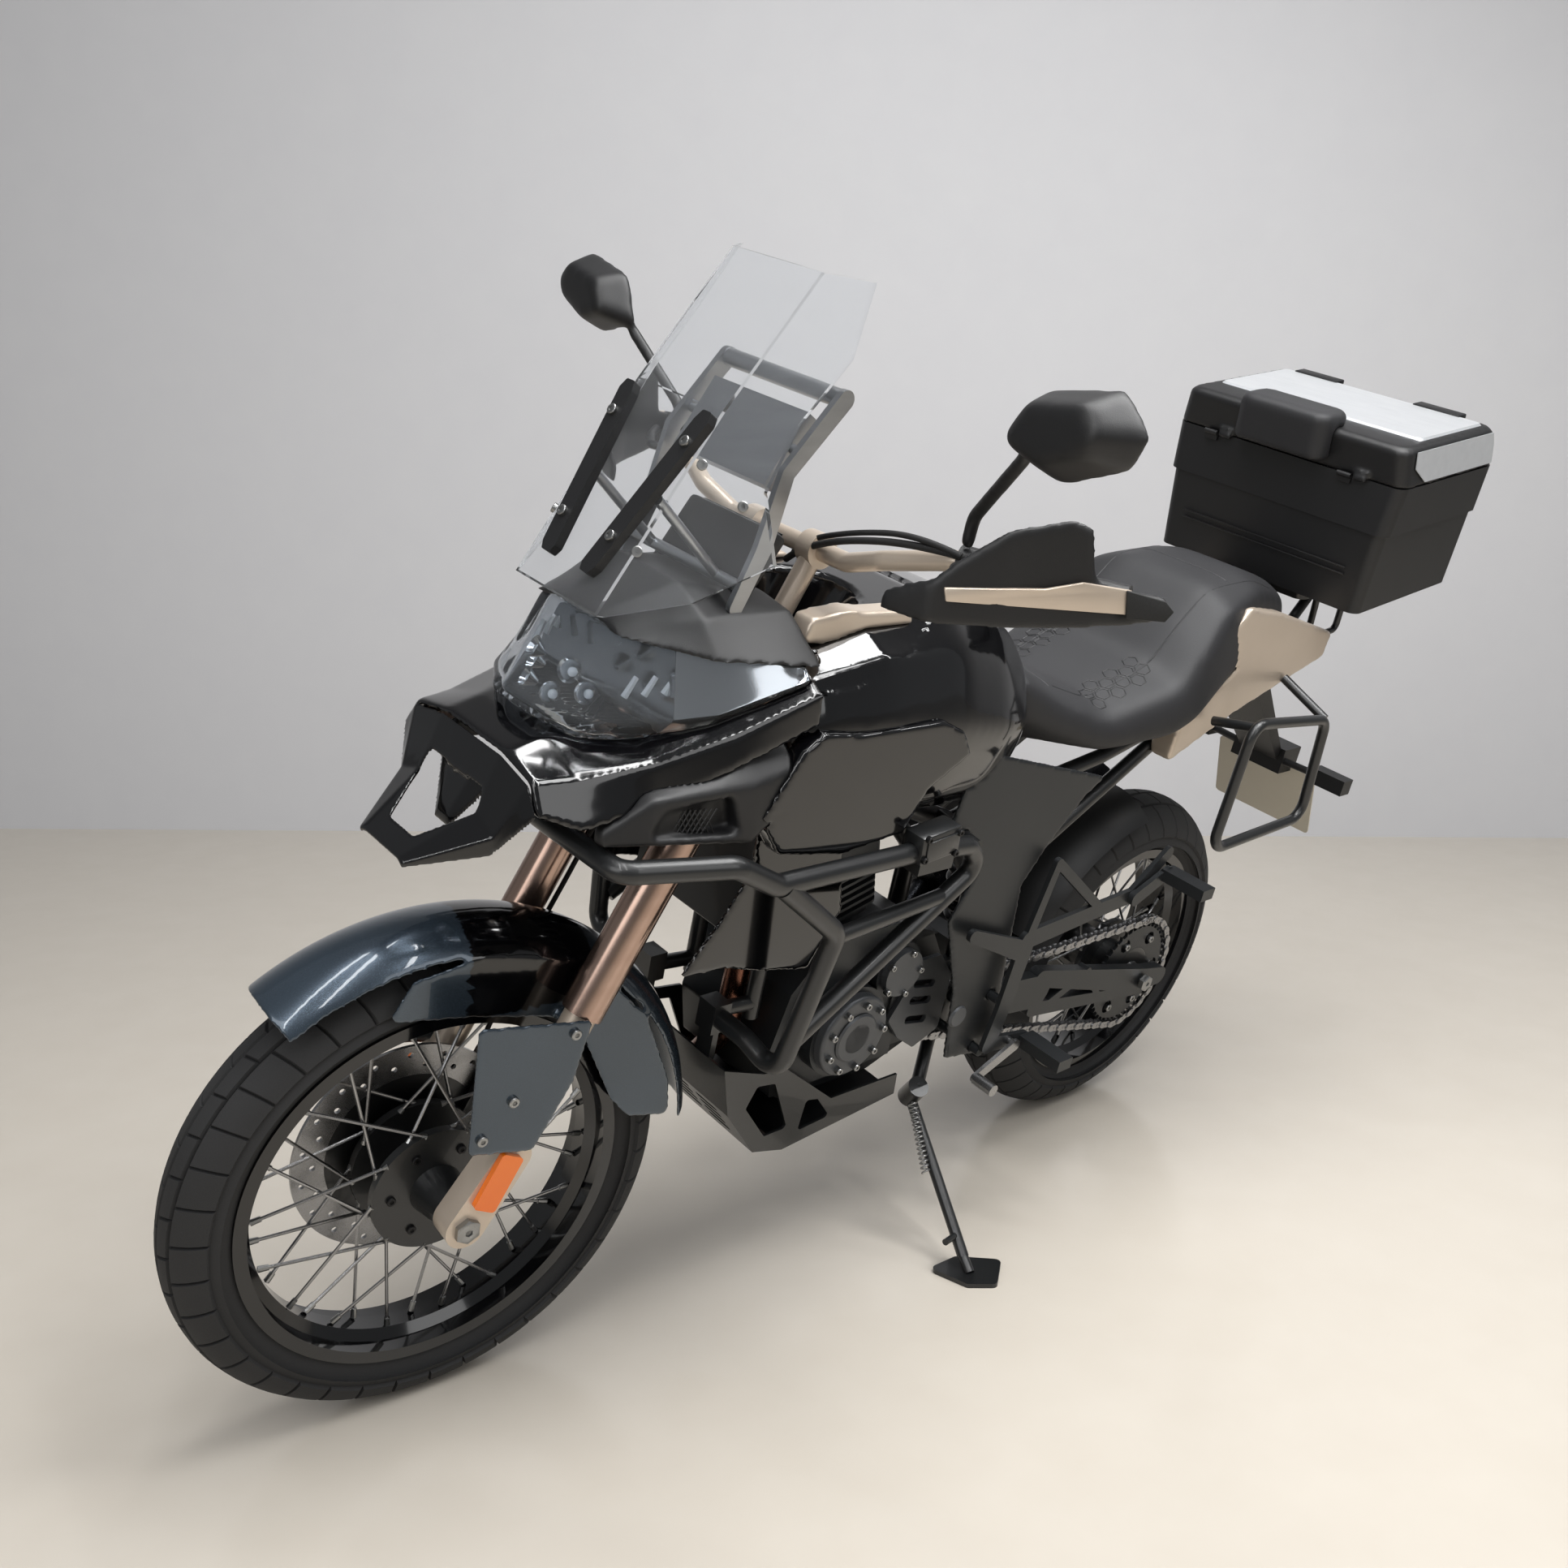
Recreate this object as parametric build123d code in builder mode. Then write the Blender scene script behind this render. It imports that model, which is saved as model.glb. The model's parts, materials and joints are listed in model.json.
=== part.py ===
"""Adventure motorcycle with spoked wheels, crash bars and a top case, leaning on its side stand.

Every piece is drawn on the upright machine: X forward from the rear axle, Y to the left, Z up from the
road. The fork group is turned about the steering axis, and the whole machine is then leaned onto its stand.
"""
from build123d import *
import os
from math import atan2, cos, degrees, hypot, pi, radians, sin, sqrt, tan

# ---------------------------------------------------------------- driving dimensions (mm, degrees)
wheelbase = 1405
rake = 26
trail = 105
lean = 14.8
rest_steer = -7
steer_lock = 37

front_tyre_r = 329
front_tyre_w = 112
front_lip_r = 255
rear_tyre_r = 320
rear_tyre_w = 148
rear_lip_r = 230
bead_share = 0.68
bead_depth = 12
carcass_t = 9
lip_t = 5
spoke_count = 36
spoke_r = 2
running_gap = 0.05
seat_gap = 0.3
moving_gap = 5.5

fork_spread = 104
fork_offset = 38
outer_tube_r = 27
inner_tube_r = 21
outer_tube_low = 639
outer_tube_high = 1145
lower_clamp_up = 960
upper_clamp_up = 1118
clamp_t = 34
stem_r = 15
head_tube_r = 29
front_axle_r = 10
rear_axle_r = 10
front_disc_r = 150
front_disc_y = -64
rear_disc_r = 120
rear_disc_y = -88
disc_t = 5

chain_y = 95
chain_w = 14
chain_pitch = 15.875
chain_half = 8
rear_teeth = 44
front_teeth = 16
countershaft = (600, 400)
swingarm_pivot = (500, 405)
arm_y = 108
arm_t = 20

handlebar_r = 12
grip_r = 17
crash_bar_r = 14
rack_bar_r = 9
frame_tube_r = 16

case_tilt = 8
case_length = 315
case_half_low = 203
case_half_high = 222
case_height = 222
lid_height = 66
case_wall = 4
case_front_low = (-175, 1042)

stand_pivot = (590, 118, 262)
stand_foot = (645, 346)
stand_folded = (-0.955, 0.28, 0.10)

# ---------------------------------------------------------------- frames of reference
steer_foot_x = wheelbase + trail
steer_up = (-sin(radians(rake)), 0, cos(radians(rake)))
fork = Plane(origin=(steer_foot_x, 0, 0), x_dir=(cos(radians(rake)), 0, sin(radians(rake))), z_dir=steer_up)
steering_axis = Axis((steer_foot_x, 0, 0), steer_up)
front_centre = Vector(wheelbase, 0, front_tyre_r)
rear_centre = Vector(0, 0, rear_tyre_r)
axle_on_fork = fork.to_local_coords(front_centre)


def on_fork(ahead, left, up):
    """A point given from the steering axis: ahead of it, to its left and up along it."""
    return fork.from_local_coords(Vector(ahead, left, up))


def side(y):
    """The side view's plane at y, drawn in (x, z). Extruding goes to the right."""
    return Plane(origin=(0, y, 0), x_dir=(1, 0, 0), z_dir=(0, -1, 0))


def fork_side(y):
    """The side view's plane at y, drawn in (ahead, up) of the steering axis. Extruding goes to the right."""
    return Plane(origin=(steer_foot_x, y, 0), x_dir=fork.x_dir, z_dir=(0, -1, 0))


def station(x):
    """A cross-section at x, drawn in (y, z)."""
    return Plane(origin=(x, 0, 0), x_dir=(0, 1, 0), z_dir=(1, 0, 0))


def level(z):
    """A horizontal section at z, drawn in (x, y)."""
    return Plane.XY.offset(z)


# ---------------------------------------------------------------- ways of making a piece
def outline(points, corner=0):
    """A closed flat outline with rounded corners, for the sketch that is open."""
    face = Polygon(*points, align=None)
    if corner:
        fillet(face.vertices(), corner)


def plate(plane, points, thickness, corner=0, both=False):
    """A flat plate: an outline given a thickness."""
    with BuildPart() as made:
        with BuildSketch(plane):
            outline(points, corner)
        extrude(amount=thickness, both=both)
    return made.part


def lofted(sections, corner=0, ruled=True):
    """A body through a few cross-sections, given as rows of (plane, points)."""
    with BuildPart() as made:
        for plane, points in sections:
            with BuildSketch(plane):
                outline(points, corner)
        loft(ruled=ruled)
    return made.part


def bar(points, bend, outer, inner=0):
    """A round bar or tube along straight runs joined by bends of one radius."""
    with BuildPart() as made:
        with BuildLine() as path:
            if len(points) > 2:
                FilletPolyline(*points, radius=bend)
            else:
                Line(*points)
        with BuildSketch(Plane(origin=path.line @ 0, z_dir=path.line % 0)):
            Circle(outer)
            if inner:
                Circle(inner, mode=Mode.SUBTRACT)
        sweep(path=path.line)
    return made.part


def rod(start, end, radius, hole=0):
    """A straight round rod between two points, with a hole along it if it has one."""
    start, end = Vector(start), Vector(end)
    length = (end - start).length
    with BuildPart(Plane(origin=start, z_dir=end - start)) as made:
        Cylinder(radius, length, align=(Align.CENTER, Align.CENTER, Align.MIN))
        if hole:
            Cylinder(hole, length, align=(Align.CENTER, Align.CENTER, Align.MIN), mode=Mode.SUBTRACT)
    return made.part


def turned(centre, points):
    """A body turned about the wheel axle through centre, from points of (radius, y)."""
    with BuildPart() as made:
        with BuildSketch(Plane(origin=centre, x_dir=(1, 0, 0), z_dir=(0, 0, 1))):
            outline(points)
        revolve(axis=Axis(centre, (0, 1, 0)))
    return made.part


def struts(plane, bars, thickness):
    """A flat casting of straight arms, each row (start, start radius, end, end radius)."""
    with BuildPart() as made:
        for start, start_r, end, end_r in bars:
            with BuildSketch(plane) as arm:
                with Locations(start):
                    Circle(start_r)
                with Locations(end):
                    Circle(end_r)
                make_hull()
            extrude(amount=thickness)
    return made.part


def both_sides(part):
    """A left-hand piece and its right-hand mirror, as separate solids of one node."""
    return Compound(children=[part, part.mirror(Plane.XZ)])


def tilted(angle, origin):
    """The frame at origin whose X runs rearwards and up by angle, and whose Z is square to it."""
    rise = radians(angle)
    return Plane(origin=origin, x_dir=(-cos(rise), 0, sin(rise)), z_dir=(sin(rise), 0, cos(rise)))


pieces = {}
steered = []


# ---------------------------------------------------------------- wheels
def tyre(centre, radius, width, lip_r):
    """A hollow tyre: round crown, sidewalls and beads against the rim's lips."""
    half = width / 2
    bead_half = bead_share * half
    bead_r = lip_r - bead_depth
    crown_r = radius - half
    with BuildPart() as made:
        with BuildSketch(Plane(origin=centre, x_dir=(1, 0, 0), z_dir=(0, 0, 1))):
            with BuildLine():
                inner = half - carcass_t
                bead_in = bead_half - carcass_t
                Polyline((crown_r, inner), (lip_r, bead_in), (bead_r, bead_in), (bead_r, bead_half), (lip_r, bead_half),
                         (crown_r, half))
                ThreePointArc((crown_r, half), (radius, 0), (crown_r, -half))
                Polyline((crown_r, -half), (lip_r, -bead_half), (bead_r, -bead_half), (bead_r, -bead_in),
                         (lip_r, -bead_in), (crown_r, -inner))
                ThreePointArc((crown_r, -inner), (radius - carcass_t, 0), (crown_r, inner))
            make_face()
        revolve(axis=Axis(centre, (0, 1, 0)))
    return made.part


def rim(centre, width, lip_r):
    """A drop-centre rim: lips, bead seats and a well."""
    bead_half = bead_share * width / 2
    bead_r = lip_r - bead_depth
    well_r = bead_r - 12
    half = [
        (lip_r, bead_half),
        (lip_r, bead_half + lip_t),
        (bead_r - lip_t, bead_half + lip_t),
        (bead_r - lip_t, bead_half - 16),
        (well_r - lip_t, bead_half - 26),
    ]
    top = [(well_r, bead_half - 24), (bead_r, bead_half - 14), (bead_r, bead_half)]
    mirrored = [(r, -y) for r, y in reversed(half)]
    mirrored_top = [(r, -y) for r, y in reversed(top)]
    return turned(centre, half + mirrored + mirrored_top + top)


def spoke_places(centre, flange_r, flange_y, rim_r, rim_y, sweep_angle):
    """Where each spoke starts and points: alternate sides, and each side's pairs lean opposite ways."""
    places = []
    for number in range(spoke_count):
        to_left = 1 if number % 2 == 0 else -1
        leaning = 1 if (number // 2) % 2 == 0 else -1
        at_rim = 2 * pi * number / spoke_count
        at_hub = at_rim + leaning * radians(sweep_angle)
        hub_y = to_left * (flange_y + leaning * 3)
        start = centre + Vector(flange_r * cos(at_hub), hub_y, flange_r * sin(at_hub))
        end = centre + Vector(rim_r * cos(at_rim), to_left * (rim_y + leaning * 3), rim_r * sin(at_rim))
        places.append((start, end))
    return places


def spoked_hub(centre, barrel, flanges, bore_r, flange_r, flange_y, lip_r, sweep_angle):
    """A hub: barrel and flanges turned from (radius, y) outlines, with its spokes screwed into it."""
    rim_r = lip_r - bead_depth - 12 - lip_t - seat_gap - 0.9
    places = spoke_places(centre, flange_r - 3, flange_y, rim_r, 7, sweep_angle)
    with BuildPart() as made:
        add(turned(centre, barrel))
        for flange in flanges:
            add(turned(centre, flange))
        length = (places[0][1] - places[0][0]).length
        with Locations(*[Plane(origin=a, z_dir=b - a).location for a, b in places]):
            Cylinder(spoke_r, length, align=(Align.CENTER, Align.CENTER, Align.MIN))
        with Locations(Plane(origin=centre, z_dir=(0, 1, 0)).location):
            Cylinder(bore_r, 400, mode=Mode.SUBTRACT)
    return made.part


def disc(centre, outer_r, inner_r, y, hole_count):
    """A brake disc with two rows of holes."""
    with BuildPart() as made:
        with BuildSketch(Plane(origin=centre + Vector(0, y, 0), x_dir=(1, 0, 0), z_dir=(0, -1, 0))):
            Circle(outer_r)
            Circle(inner_r, mode=Mode.SUBTRACT)
            with PolarLocations(inner_r + 0.35 * (outer_r - inner_r), hole_count):
                Circle(4, mode=Mode.SUBTRACT)
            with PolarLocations(inner_r + 0.7 * (outer_r - inner_r), hole_count, start_angle=180 / hole_count):
                Circle(4, mode=Mode.SUBTRACT)
        extrude(amount=disc_t / 2, both=True)
    return made.part


front_bead_half = bead_share * front_tyre_w / 2
pieces["front_tyre"] = tyre(front_centre, front_tyre_r, front_tyre_w, front_lip_r)
pieces["front_rim"] = rim(front_centre, front_tyre_w, front_lip_r)
front_hub_half = fork_spread - 17
front_flange_r = 85
front_flange_y = 32
front_disc_inner = 107
front_carrier_r = front_disc_inner - seat_gap
carrier_in = front_disc_y + disc_t / 2
carrier_out = front_disc_y - disc_t / 2
pieces["front_hub"] = spoked_hub(
    front_centre,
    [(0, -front_hub_half), (24, -front_hub_half), (36, -front_flange_y), (36, front_flange_y),
     (24, front_hub_half), (0, front_hub_half)],
    [
        [(30, front_flange_y - 6), (front_flange_r, front_flange_y - 6), (front_flange_r, front_flange_y + 6),
         (30, front_flange_y + 6)],
        [(30, -front_flange_y + 6), (front_flange_r, -front_flange_y + 6), (front_flange_r, -front_flange_y - 6),
         (30, -front_flange_y - 6)],
        [(20, carrier_in), (front_carrier_r, carrier_in), (front_carrier_r, carrier_out), (20, carrier_out)],
    ],
    front_axle_r + running_gap, front_flange_r, front_flange_y, front_lip_r, 38,
)
pieces["front_disc"] = disc(front_centre, front_disc_r, front_disc_inner, front_disc_y, 18)

pieces["rear_tyre"] = tyre(rear_centre, rear_tyre_r, rear_tyre_w, rear_lip_r)
pieces["rear_rim"] = rim(rear_centre, rear_tyre_w, rear_lip_r)
rear_flange_r = 78
rear_flange_y = 36
sprocket_t = 6
sprocket_inner = 52
rear_disc_inner = 82
rear_carrier_r = rear_disc_inner - seat_gap
rear_hub_half = arm_y - 6
disc_in = rear_disc_y + disc_t / 2
disc_out = rear_disc_y - disc_t / 2
pieces["rear_hub"] = spoked_hub(
    rear_centre,
    [(0, -rear_hub_half), (22, -rear_hub_half), (22, disc_out), (40, disc_in), (40, chain_y - sprocket_t),
     (sprocket_inner - seat_gap, chain_y - sprocket_t), (sprocket_inner - seat_gap, chain_y + sprocket_t / 2),
     (24, chain_y + sprocket_t / 2), (22, rear_hub_half), (0, rear_hub_half)],
    [
        [(30, rear_flange_y - 5), (rear_flange_r, rear_flange_y - 5), (rear_flange_r, rear_flange_y + 5),
         (30, rear_flange_y + 5)],
        [(30, -rear_flange_y + 5), (rear_flange_r, -rear_flange_y + 5), (rear_flange_r, -rear_flange_y - 5),
         (30, -rear_flange_y - 5)],
        [(20, disc_in), (rear_carrier_r, disc_in), (rear_carrier_r, disc_out), (20, disc_out)],
    ],
    rear_axle_r + running_gap, rear_flange_r, rear_flange_y, rear_lip_r, 38,
)
pieces["rear_disc"] = disc(rear_centre, rear_disc_r, rear_disc_inner, rear_disc_y, 16)


# ---------------------------------------------------------------- final drive
def pitch_r(teeth):
    """A chain wheel's pitch radius."""
    return chain_pitch / (2 * sin(pi / teeth))


rear_pitch_r = pitch_r(rear_teeth)
front_pitch_r = pitch_r(front_teeth)
tooth_top = chain_half + 0.6

with BuildPart() as rear_sprocket:
    with BuildSketch(Plane(origin=rear_centre + Vector(0, chain_y + sprocket_t / 2, 0), x_dir=(1, 0, 0),
                           z_dir=(0, -1, 0))):
        Circle(rear_pitch_r - tooth_top - 7)
        with PolarLocations(rear_pitch_r - tooth_top - 6, rear_teeth):
            Trapezoid(8, 12, 72, rotation=-90)
        Circle(sprocket_inner, mode=Mode.SUBTRACT)
        with PolarLocations((sprocket_inner + rear_pitch_r) / 2 - 7, 6):
            Circle(13, mode=Mode.SUBTRACT)
    extrude(amount=sprocket_t)
pieces["rear_sprocket"] = rear_sprocket.part

run = Vector(countershaft[0], 0, countershaft[1]) - rear_centre
run_length = run.length
run_angle = atan2(run.Z, run.X)
wrap = atan2(rear_pitch_r - front_pitch_r, run_length)


def chain_loop(offset):
    """The chain's line round both wheels, offset outwards: tangents joined by arcs, in (x, z)."""
    big, small = rear_pitch_r + offset, front_pitch_r + offset
    rear = (rear_centre.X, rear_centre.Z)
    up = run_angle + pi / 2 - wrap
    down = run_angle - pi / 2 + wrap

    def on(centre, radius, angle):
        return (centre[0] + radius * cos(angle), centre[1] + radius * sin(angle))

    Line(on(rear, big, up), on(countershaft, small, up))
    ThreePointArc(on(countershaft, small, up), on(countershaft, small, run_angle), on(countershaft, small, down))
    Line(on(countershaft, small, down), on(rear, big, down))
    ThreePointArc(on(rear, big, down), on(rear, big, run_angle + pi), on(rear, big, up))


with BuildPart() as chain:
    with BuildSketch(side(chain_y + chain_w / 2)) as loop:
        with BuildLine():
            chain_loop(chain_half)
        make_face()
        with BuildLine():
            chain_loop(-chain_half)
        make_face(mode=Mode.SUBTRACT)
    extrude(amount=chain_w)
pieces["chain"] = chain.part

axle_xz = (rear_centre.X, rear_centre.Z)
arm_bars = [
    (swingarm_pivot, 30, (330, 385), 32),
    ((330, 410), 16, axle_xz, 24),
    ((330, 350), 14, (0, 300), 10),
    ((300, 345), 8, (190, 388), 8),
    ((190, 388), 7, (130, 318), 7),
    (axle_xz, 24, (-62, 314), 18),
]
arm_left = struts(side(arm_y + arm_t), arm_bars, arm_t)
rear_caliper_at = (54, 408)
with BuildPart() as swingarm:
    with BuildSketch(side(-arm_y - 1)):
        with Locations(rear_caliper_at):
            RectangleRounded(78, 44, 10, rotation=-30)
    extrude(amount=-41)
    with Locations(Plane(origin=rear_centre + Vector(0, rear_disc_y, 0), z_dir=(0, 1, 0)).location):
        Cylinder(rear_disc_r + moving_gap, disc_t + 2 * moving_gap, mode=Mode.SUBTRACT)
    add(struts(side(-arm_y), [(rear_caliper_at, 18, (40, 332), 16)], arm_t))
    add(arm_left)
    add(arm_left.mirror(Plane.XZ))
    with Locations((365, 0, 385)):
        Box(46, 2 * arm_y + 2, 56)
    add(rod((rear_centre.X, -arm_y - arm_t - 6, rear_centre.Z), (rear_centre.X, arm_y + arm_t + 6, rear_centre.Z),
            rear_axle_r))
    add(rod((swingarm_pivot[0], -arm_y - arm_t, swingarm_pivot[1]),
            (swingarm_pivot[0], arm_y + arm_t, swingarm_pivot[1]), 17))
pieces["swingarm"] = swingarm.part

# ---------------------------------------------------------------- front fork, on the steering axis
leg_ups = (axle_on_fork.Z + 78, outer_tube_low)
foot_in = fork_spread - 15
foot_out = fork_spread + inner_tube_r + 1
with BuildPart() as fork_lowers:
    for hand in (1, -1):
        add(rod(on_fork(fork_offset, hand * fork_spread, leg_ups[0]),
                on_fork(fork_offset, hand * fork_spread, leg_ups[1]), inner_tube_r))
        with BuildSketch(fork_side(foot_out if hand > 0 else -foot_in)):
            with Locations((axle_on_fork.X, axle_on_fork.Z)):
                Circle(27)
            with Locations((fork_offset, leg_ups[0] + 25)):
                Circle(24)
            make_hull()
        extrude(amount=foot_out - foot_in)
    add(rod(front_centre + Vector(0, -foot_out - 4, 0), front_centre + Vector(0, foot_out + 4, 0), front_axle_r))
pieces["fork_lowers"] = fork_lowers.part

pieces["fork_outers"] = both_sides(rod(on_fork(fork_offset, fork_spread, outer_tube_low),
                                       on_fork(fork_offset, fork_spread, outer_tube_high), outer_tube_r))

with BuildPart() as fork_clamps:
    for up in (lower_clamp_up, upper_clamp_up):
        with BuildSketch(fork.offset(up - clamp_t / 2)):
            with Locations((0, 0)):
                Circle(26)
            with Locations((fork_offset, fork_spread), (fork_offset, -fork_spread)):
                Circle(outer_tube_r + 9)
            make_hull()
            with Locations((fork_offset, fork_spread), (fork_offset, -fork_spread)):
                Circle(outer_tube_r, mode=Mode.SUBTRACT)
        extrude(amount=clamp_t)
    add(rod(on_fork(0, 0, lower_clamp_up), on_fork(0, 0, upper_clamp_up), stem_r))
pieces["fork_clamps"] = fork_clamps.part

# handlebar: risers on the upper clamp, then out, up and back to the grips
bar_clamp = Vector(984, 62, 1157)
bar_points = [(868, 455, 1206), (962, 280, 1203), (986, 190, 1178), (980, 120, 1156), (984, 60, 1157)]
bar_right = [(x, -y, z) for x, y, z in bar_points]
riser_foot = upper_clamp_up + clamp_t / 2
with BuildPart() as handlebar:
    add(bar(bar_points + bar_right[::-1], 28, handlebar_r))
    for hand in (1, -1):
        top = Vector(bar_clamp.X, hand * bar_clamp.Y, bar_clamp.Z)
        add(rod(on_fork(34, hand * bar_clamp.Y, riser_foot - 2), top, 14))
        with Locations(Plane(origin=top, z_dir=(0, 1, 0)).location):
            Cylinder(22, 28)
    add(fork_clamps.part, mode=Mode.SUBTRACT)
pieces["handlebar"] = handlebar.part

grip_line = Vector(*bar_points[0]) - Vector(*bar_points[1])
grip_way = grip_line.normalized()
grip_root = Vector(*bar_points[1]) + grip_way * 72


def along_grip(distance, ahead=0, up=0):
    """A point on the left grip's line, measured out from its inner end."""
    return grip_root + grip_way * distance + Vector(ahead, 0, up)


grip_length = 126
with BuildPart() as hand_control:
    add(rod(along_grip(0), along_grip(grip_length), grip_r))
    add(rod(along_grip(-34), along_grip(0), 23))
    add(rod(along_grip(-66), along_grip(-33), 19))
    add(bar([along_grip(-52, 10), along_grip(-44, 52, -4), along_grip(50, 46, -4), along_grip(100, 34, -4)], 18, 6))
    add(rod(along_grip(-140), along_grip(grip_length + 1), handlebar_r), mode=Mode.SUBTRACT)
pieces["hand_controls"] = both_sides(hand_control.part)

guard_plan = [(1068, 288), (1050, 345), (1000, 388), (930, 432), (850, 478), (826, 486)]
guard_t = 5
with BuildPart() as handguard:
    with BuildSketch(level(1130)):
        outline(guard_plan + [(x - guard_t, y - guard_t) for x, y in reversed(guard_plan)])
    extrude(amount=180)
    with BuildSketch(side(200)):
        outline([(1072, 1153), (1062, 1180), (1036, 1220), (996, 1266), (941, 1287), (922, 1280), (910, 1228),
                 (850, 1214), (826, 1204), (832, 1192), (880, 1178), (940, 1167), (1050, 1152)], 4)
    extrude(amount=-340, mode=Mode.INTERSECT)
    add(rod(along_grip(grip_length + 3), along_grip(grip_length + 30, -16), 11))
    add(handlebar.part, mode=Mode.SUBTRACT)
    add(hand_control.part, mode=Mode.SUBTRACT)
pieces["handguards"] = both_sides(handguard.part.solids().sort_by(SortBy.VOLUME)[-1])

mirror_foot = along_grip(-53, 12, 19)
with BuildPart() as mirror_left:
    add(bar([mirror_foot, mirror_foot + Vector(0, 2, 34), Vector(1000, 392, 1344)], 12, 8))
    with BuildSketch(station(1002)):
        outline([(375, 1350), (410, 1414), (508, 1432), (550, 1396), (536, 1360), (455, 1328)], 10)
    with BuildSketch(station(1050)):
        outline([(400, 1362), (424, 1400), (500, 1412), (520, 1390), (510, 1370), (452, 1348)], 8)
    loft(ruled=True)
pieces["mirrors"] = both_sides(mirror_left.part)

# front fender: a hoop over the tyre, with skirts down beside the fork legs
fender_from, fender_to = 53, 175
fender_r = front_tyre_r + 46
fender_half = 66
fender_t = 4
hoop_start = Plane(
    origin=front_centre,
    x_dir=(cos(radians(fender_from)), 0, sin(radians(fender_from))),
    z_dir=(-sin(radians(fender_from)), 0, cos(radians(fender_from))),
)
with BuildPart() as front_fender:
    with BuildSketch(hoop_start):
        with BuildLine():
            edge_r = fender_r - 34
            ThreePointArc((edge_r, fender_half), (fender_r, 0), (edge_r, -fender_half))
            Line((edge_r, fender_half), (edge_r, fender_half - fender_t))
            ThreePointArc((edge_r, fender_half - fender_t), (fender_r - fender_t, 0), (edge_r, fender_t - fender_half))
            Line((edge_r, -fender_half), (edge_r, fender_t - fender_half))
        make_face()
    revolve(axis=Axis(front_centre, (0, -1, 0)), revolution_arc=fender_to - fender_from)
    for hand in (1, -1):
        with BuildSketch(side(hand * fender_half + fender_t / 2)):
            outline([(1500, 604), (1392, 590), (1250, 560), (1180, 420), (1149, 386), (1082, 372), (1090, 430),
                     (1140, 540), (1240, 640), (1380, 672), (1470, 655)], 10)
        extrude(amount=fender_t)
        add(rod(on_fork(fork_offset, hand * (fender_half - 1), 618), on_fork(fork_offset, hand * fork_spread, 618), 8))
    add(fork_lowers.part, mode=Mode.SUBTRACT)
pieces["front_fender"] = front_fender.part.solids().sort_by(SortBy.VOLUME)[-1]

guard_y = fork_spread + outer_tube_r + 1
with BuildPart() as fork_guard:
    with BuildSketch(side(guard_y + 4)):
        outline([(1419, 618), (1265, 598), (1283, 516), (1330, 428), (1417, 444)], 8)
    extrude(amount=4)
    for up in (500, 590):
        add(rod(on_fork(fork_offset, guard_y, up), on_fork(fork_offset, fork_spread + inner_tube_r + seat_gap, up), 6))
reflector_base = Plane(origin=(1371, foot_out + seat_gap, 391), x_dir=fork.z_dir, z_dir=(0, 1, 0))
with BuildPart() as reflector:
    with BuildSketch(reflector_base):
        RectangleRounded(78, 32, 5)
    extrude(amount=8)
pieces["fork_guards"] = both_sides(fork_guard.part)
pieces["reflectors"] = both_sides(reflector.part)

caliper_angle = radians(152)
caliper_at = front_centre + Vector(126 * cos(caliper_angle), 0, 126 * sin(caliper_angle))
with BuildPart() as front_caliper:
    with BuildSketch(Plane(origin=caliper_at + Vector(0, front_disc_y - 3, 0), x_dir=fork.x_dir, z_dir=(0, -1, 0))):
        RectangleRounded(56, 108, 10)
    extrude(amount=21, both=True)
    with Locations(Plane(origin=front_centre + Vector(0, front_disc_y, 0), z_dir=(0, 1, 0)).location):
        Cylinder(front_disc_r + moving_gap, disc_t + 2 * moving_gap, mode=Mode.SUBTRACT)
    add(struts(side(-foot_in + 2), [((1300, 398), 18, (1352, 412), 16)], 12))
    add(fork_lowers.part, mode=Mode.SUBTRACT)
pieces["front_caliper"] = front_caliper.part.solids().sort_by(SortBy.VOLUME)[-1]

steered += ["fork_lowers", "fork_outers", "fork_clamps", "handlebar", "hand_controls", "handguards", "mirrors",
            "front_fender", "fork_guards", "reflectors", "front_caliper", "front_tyre", "front_rim", "front_hub",
            "front_disc"]

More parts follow.
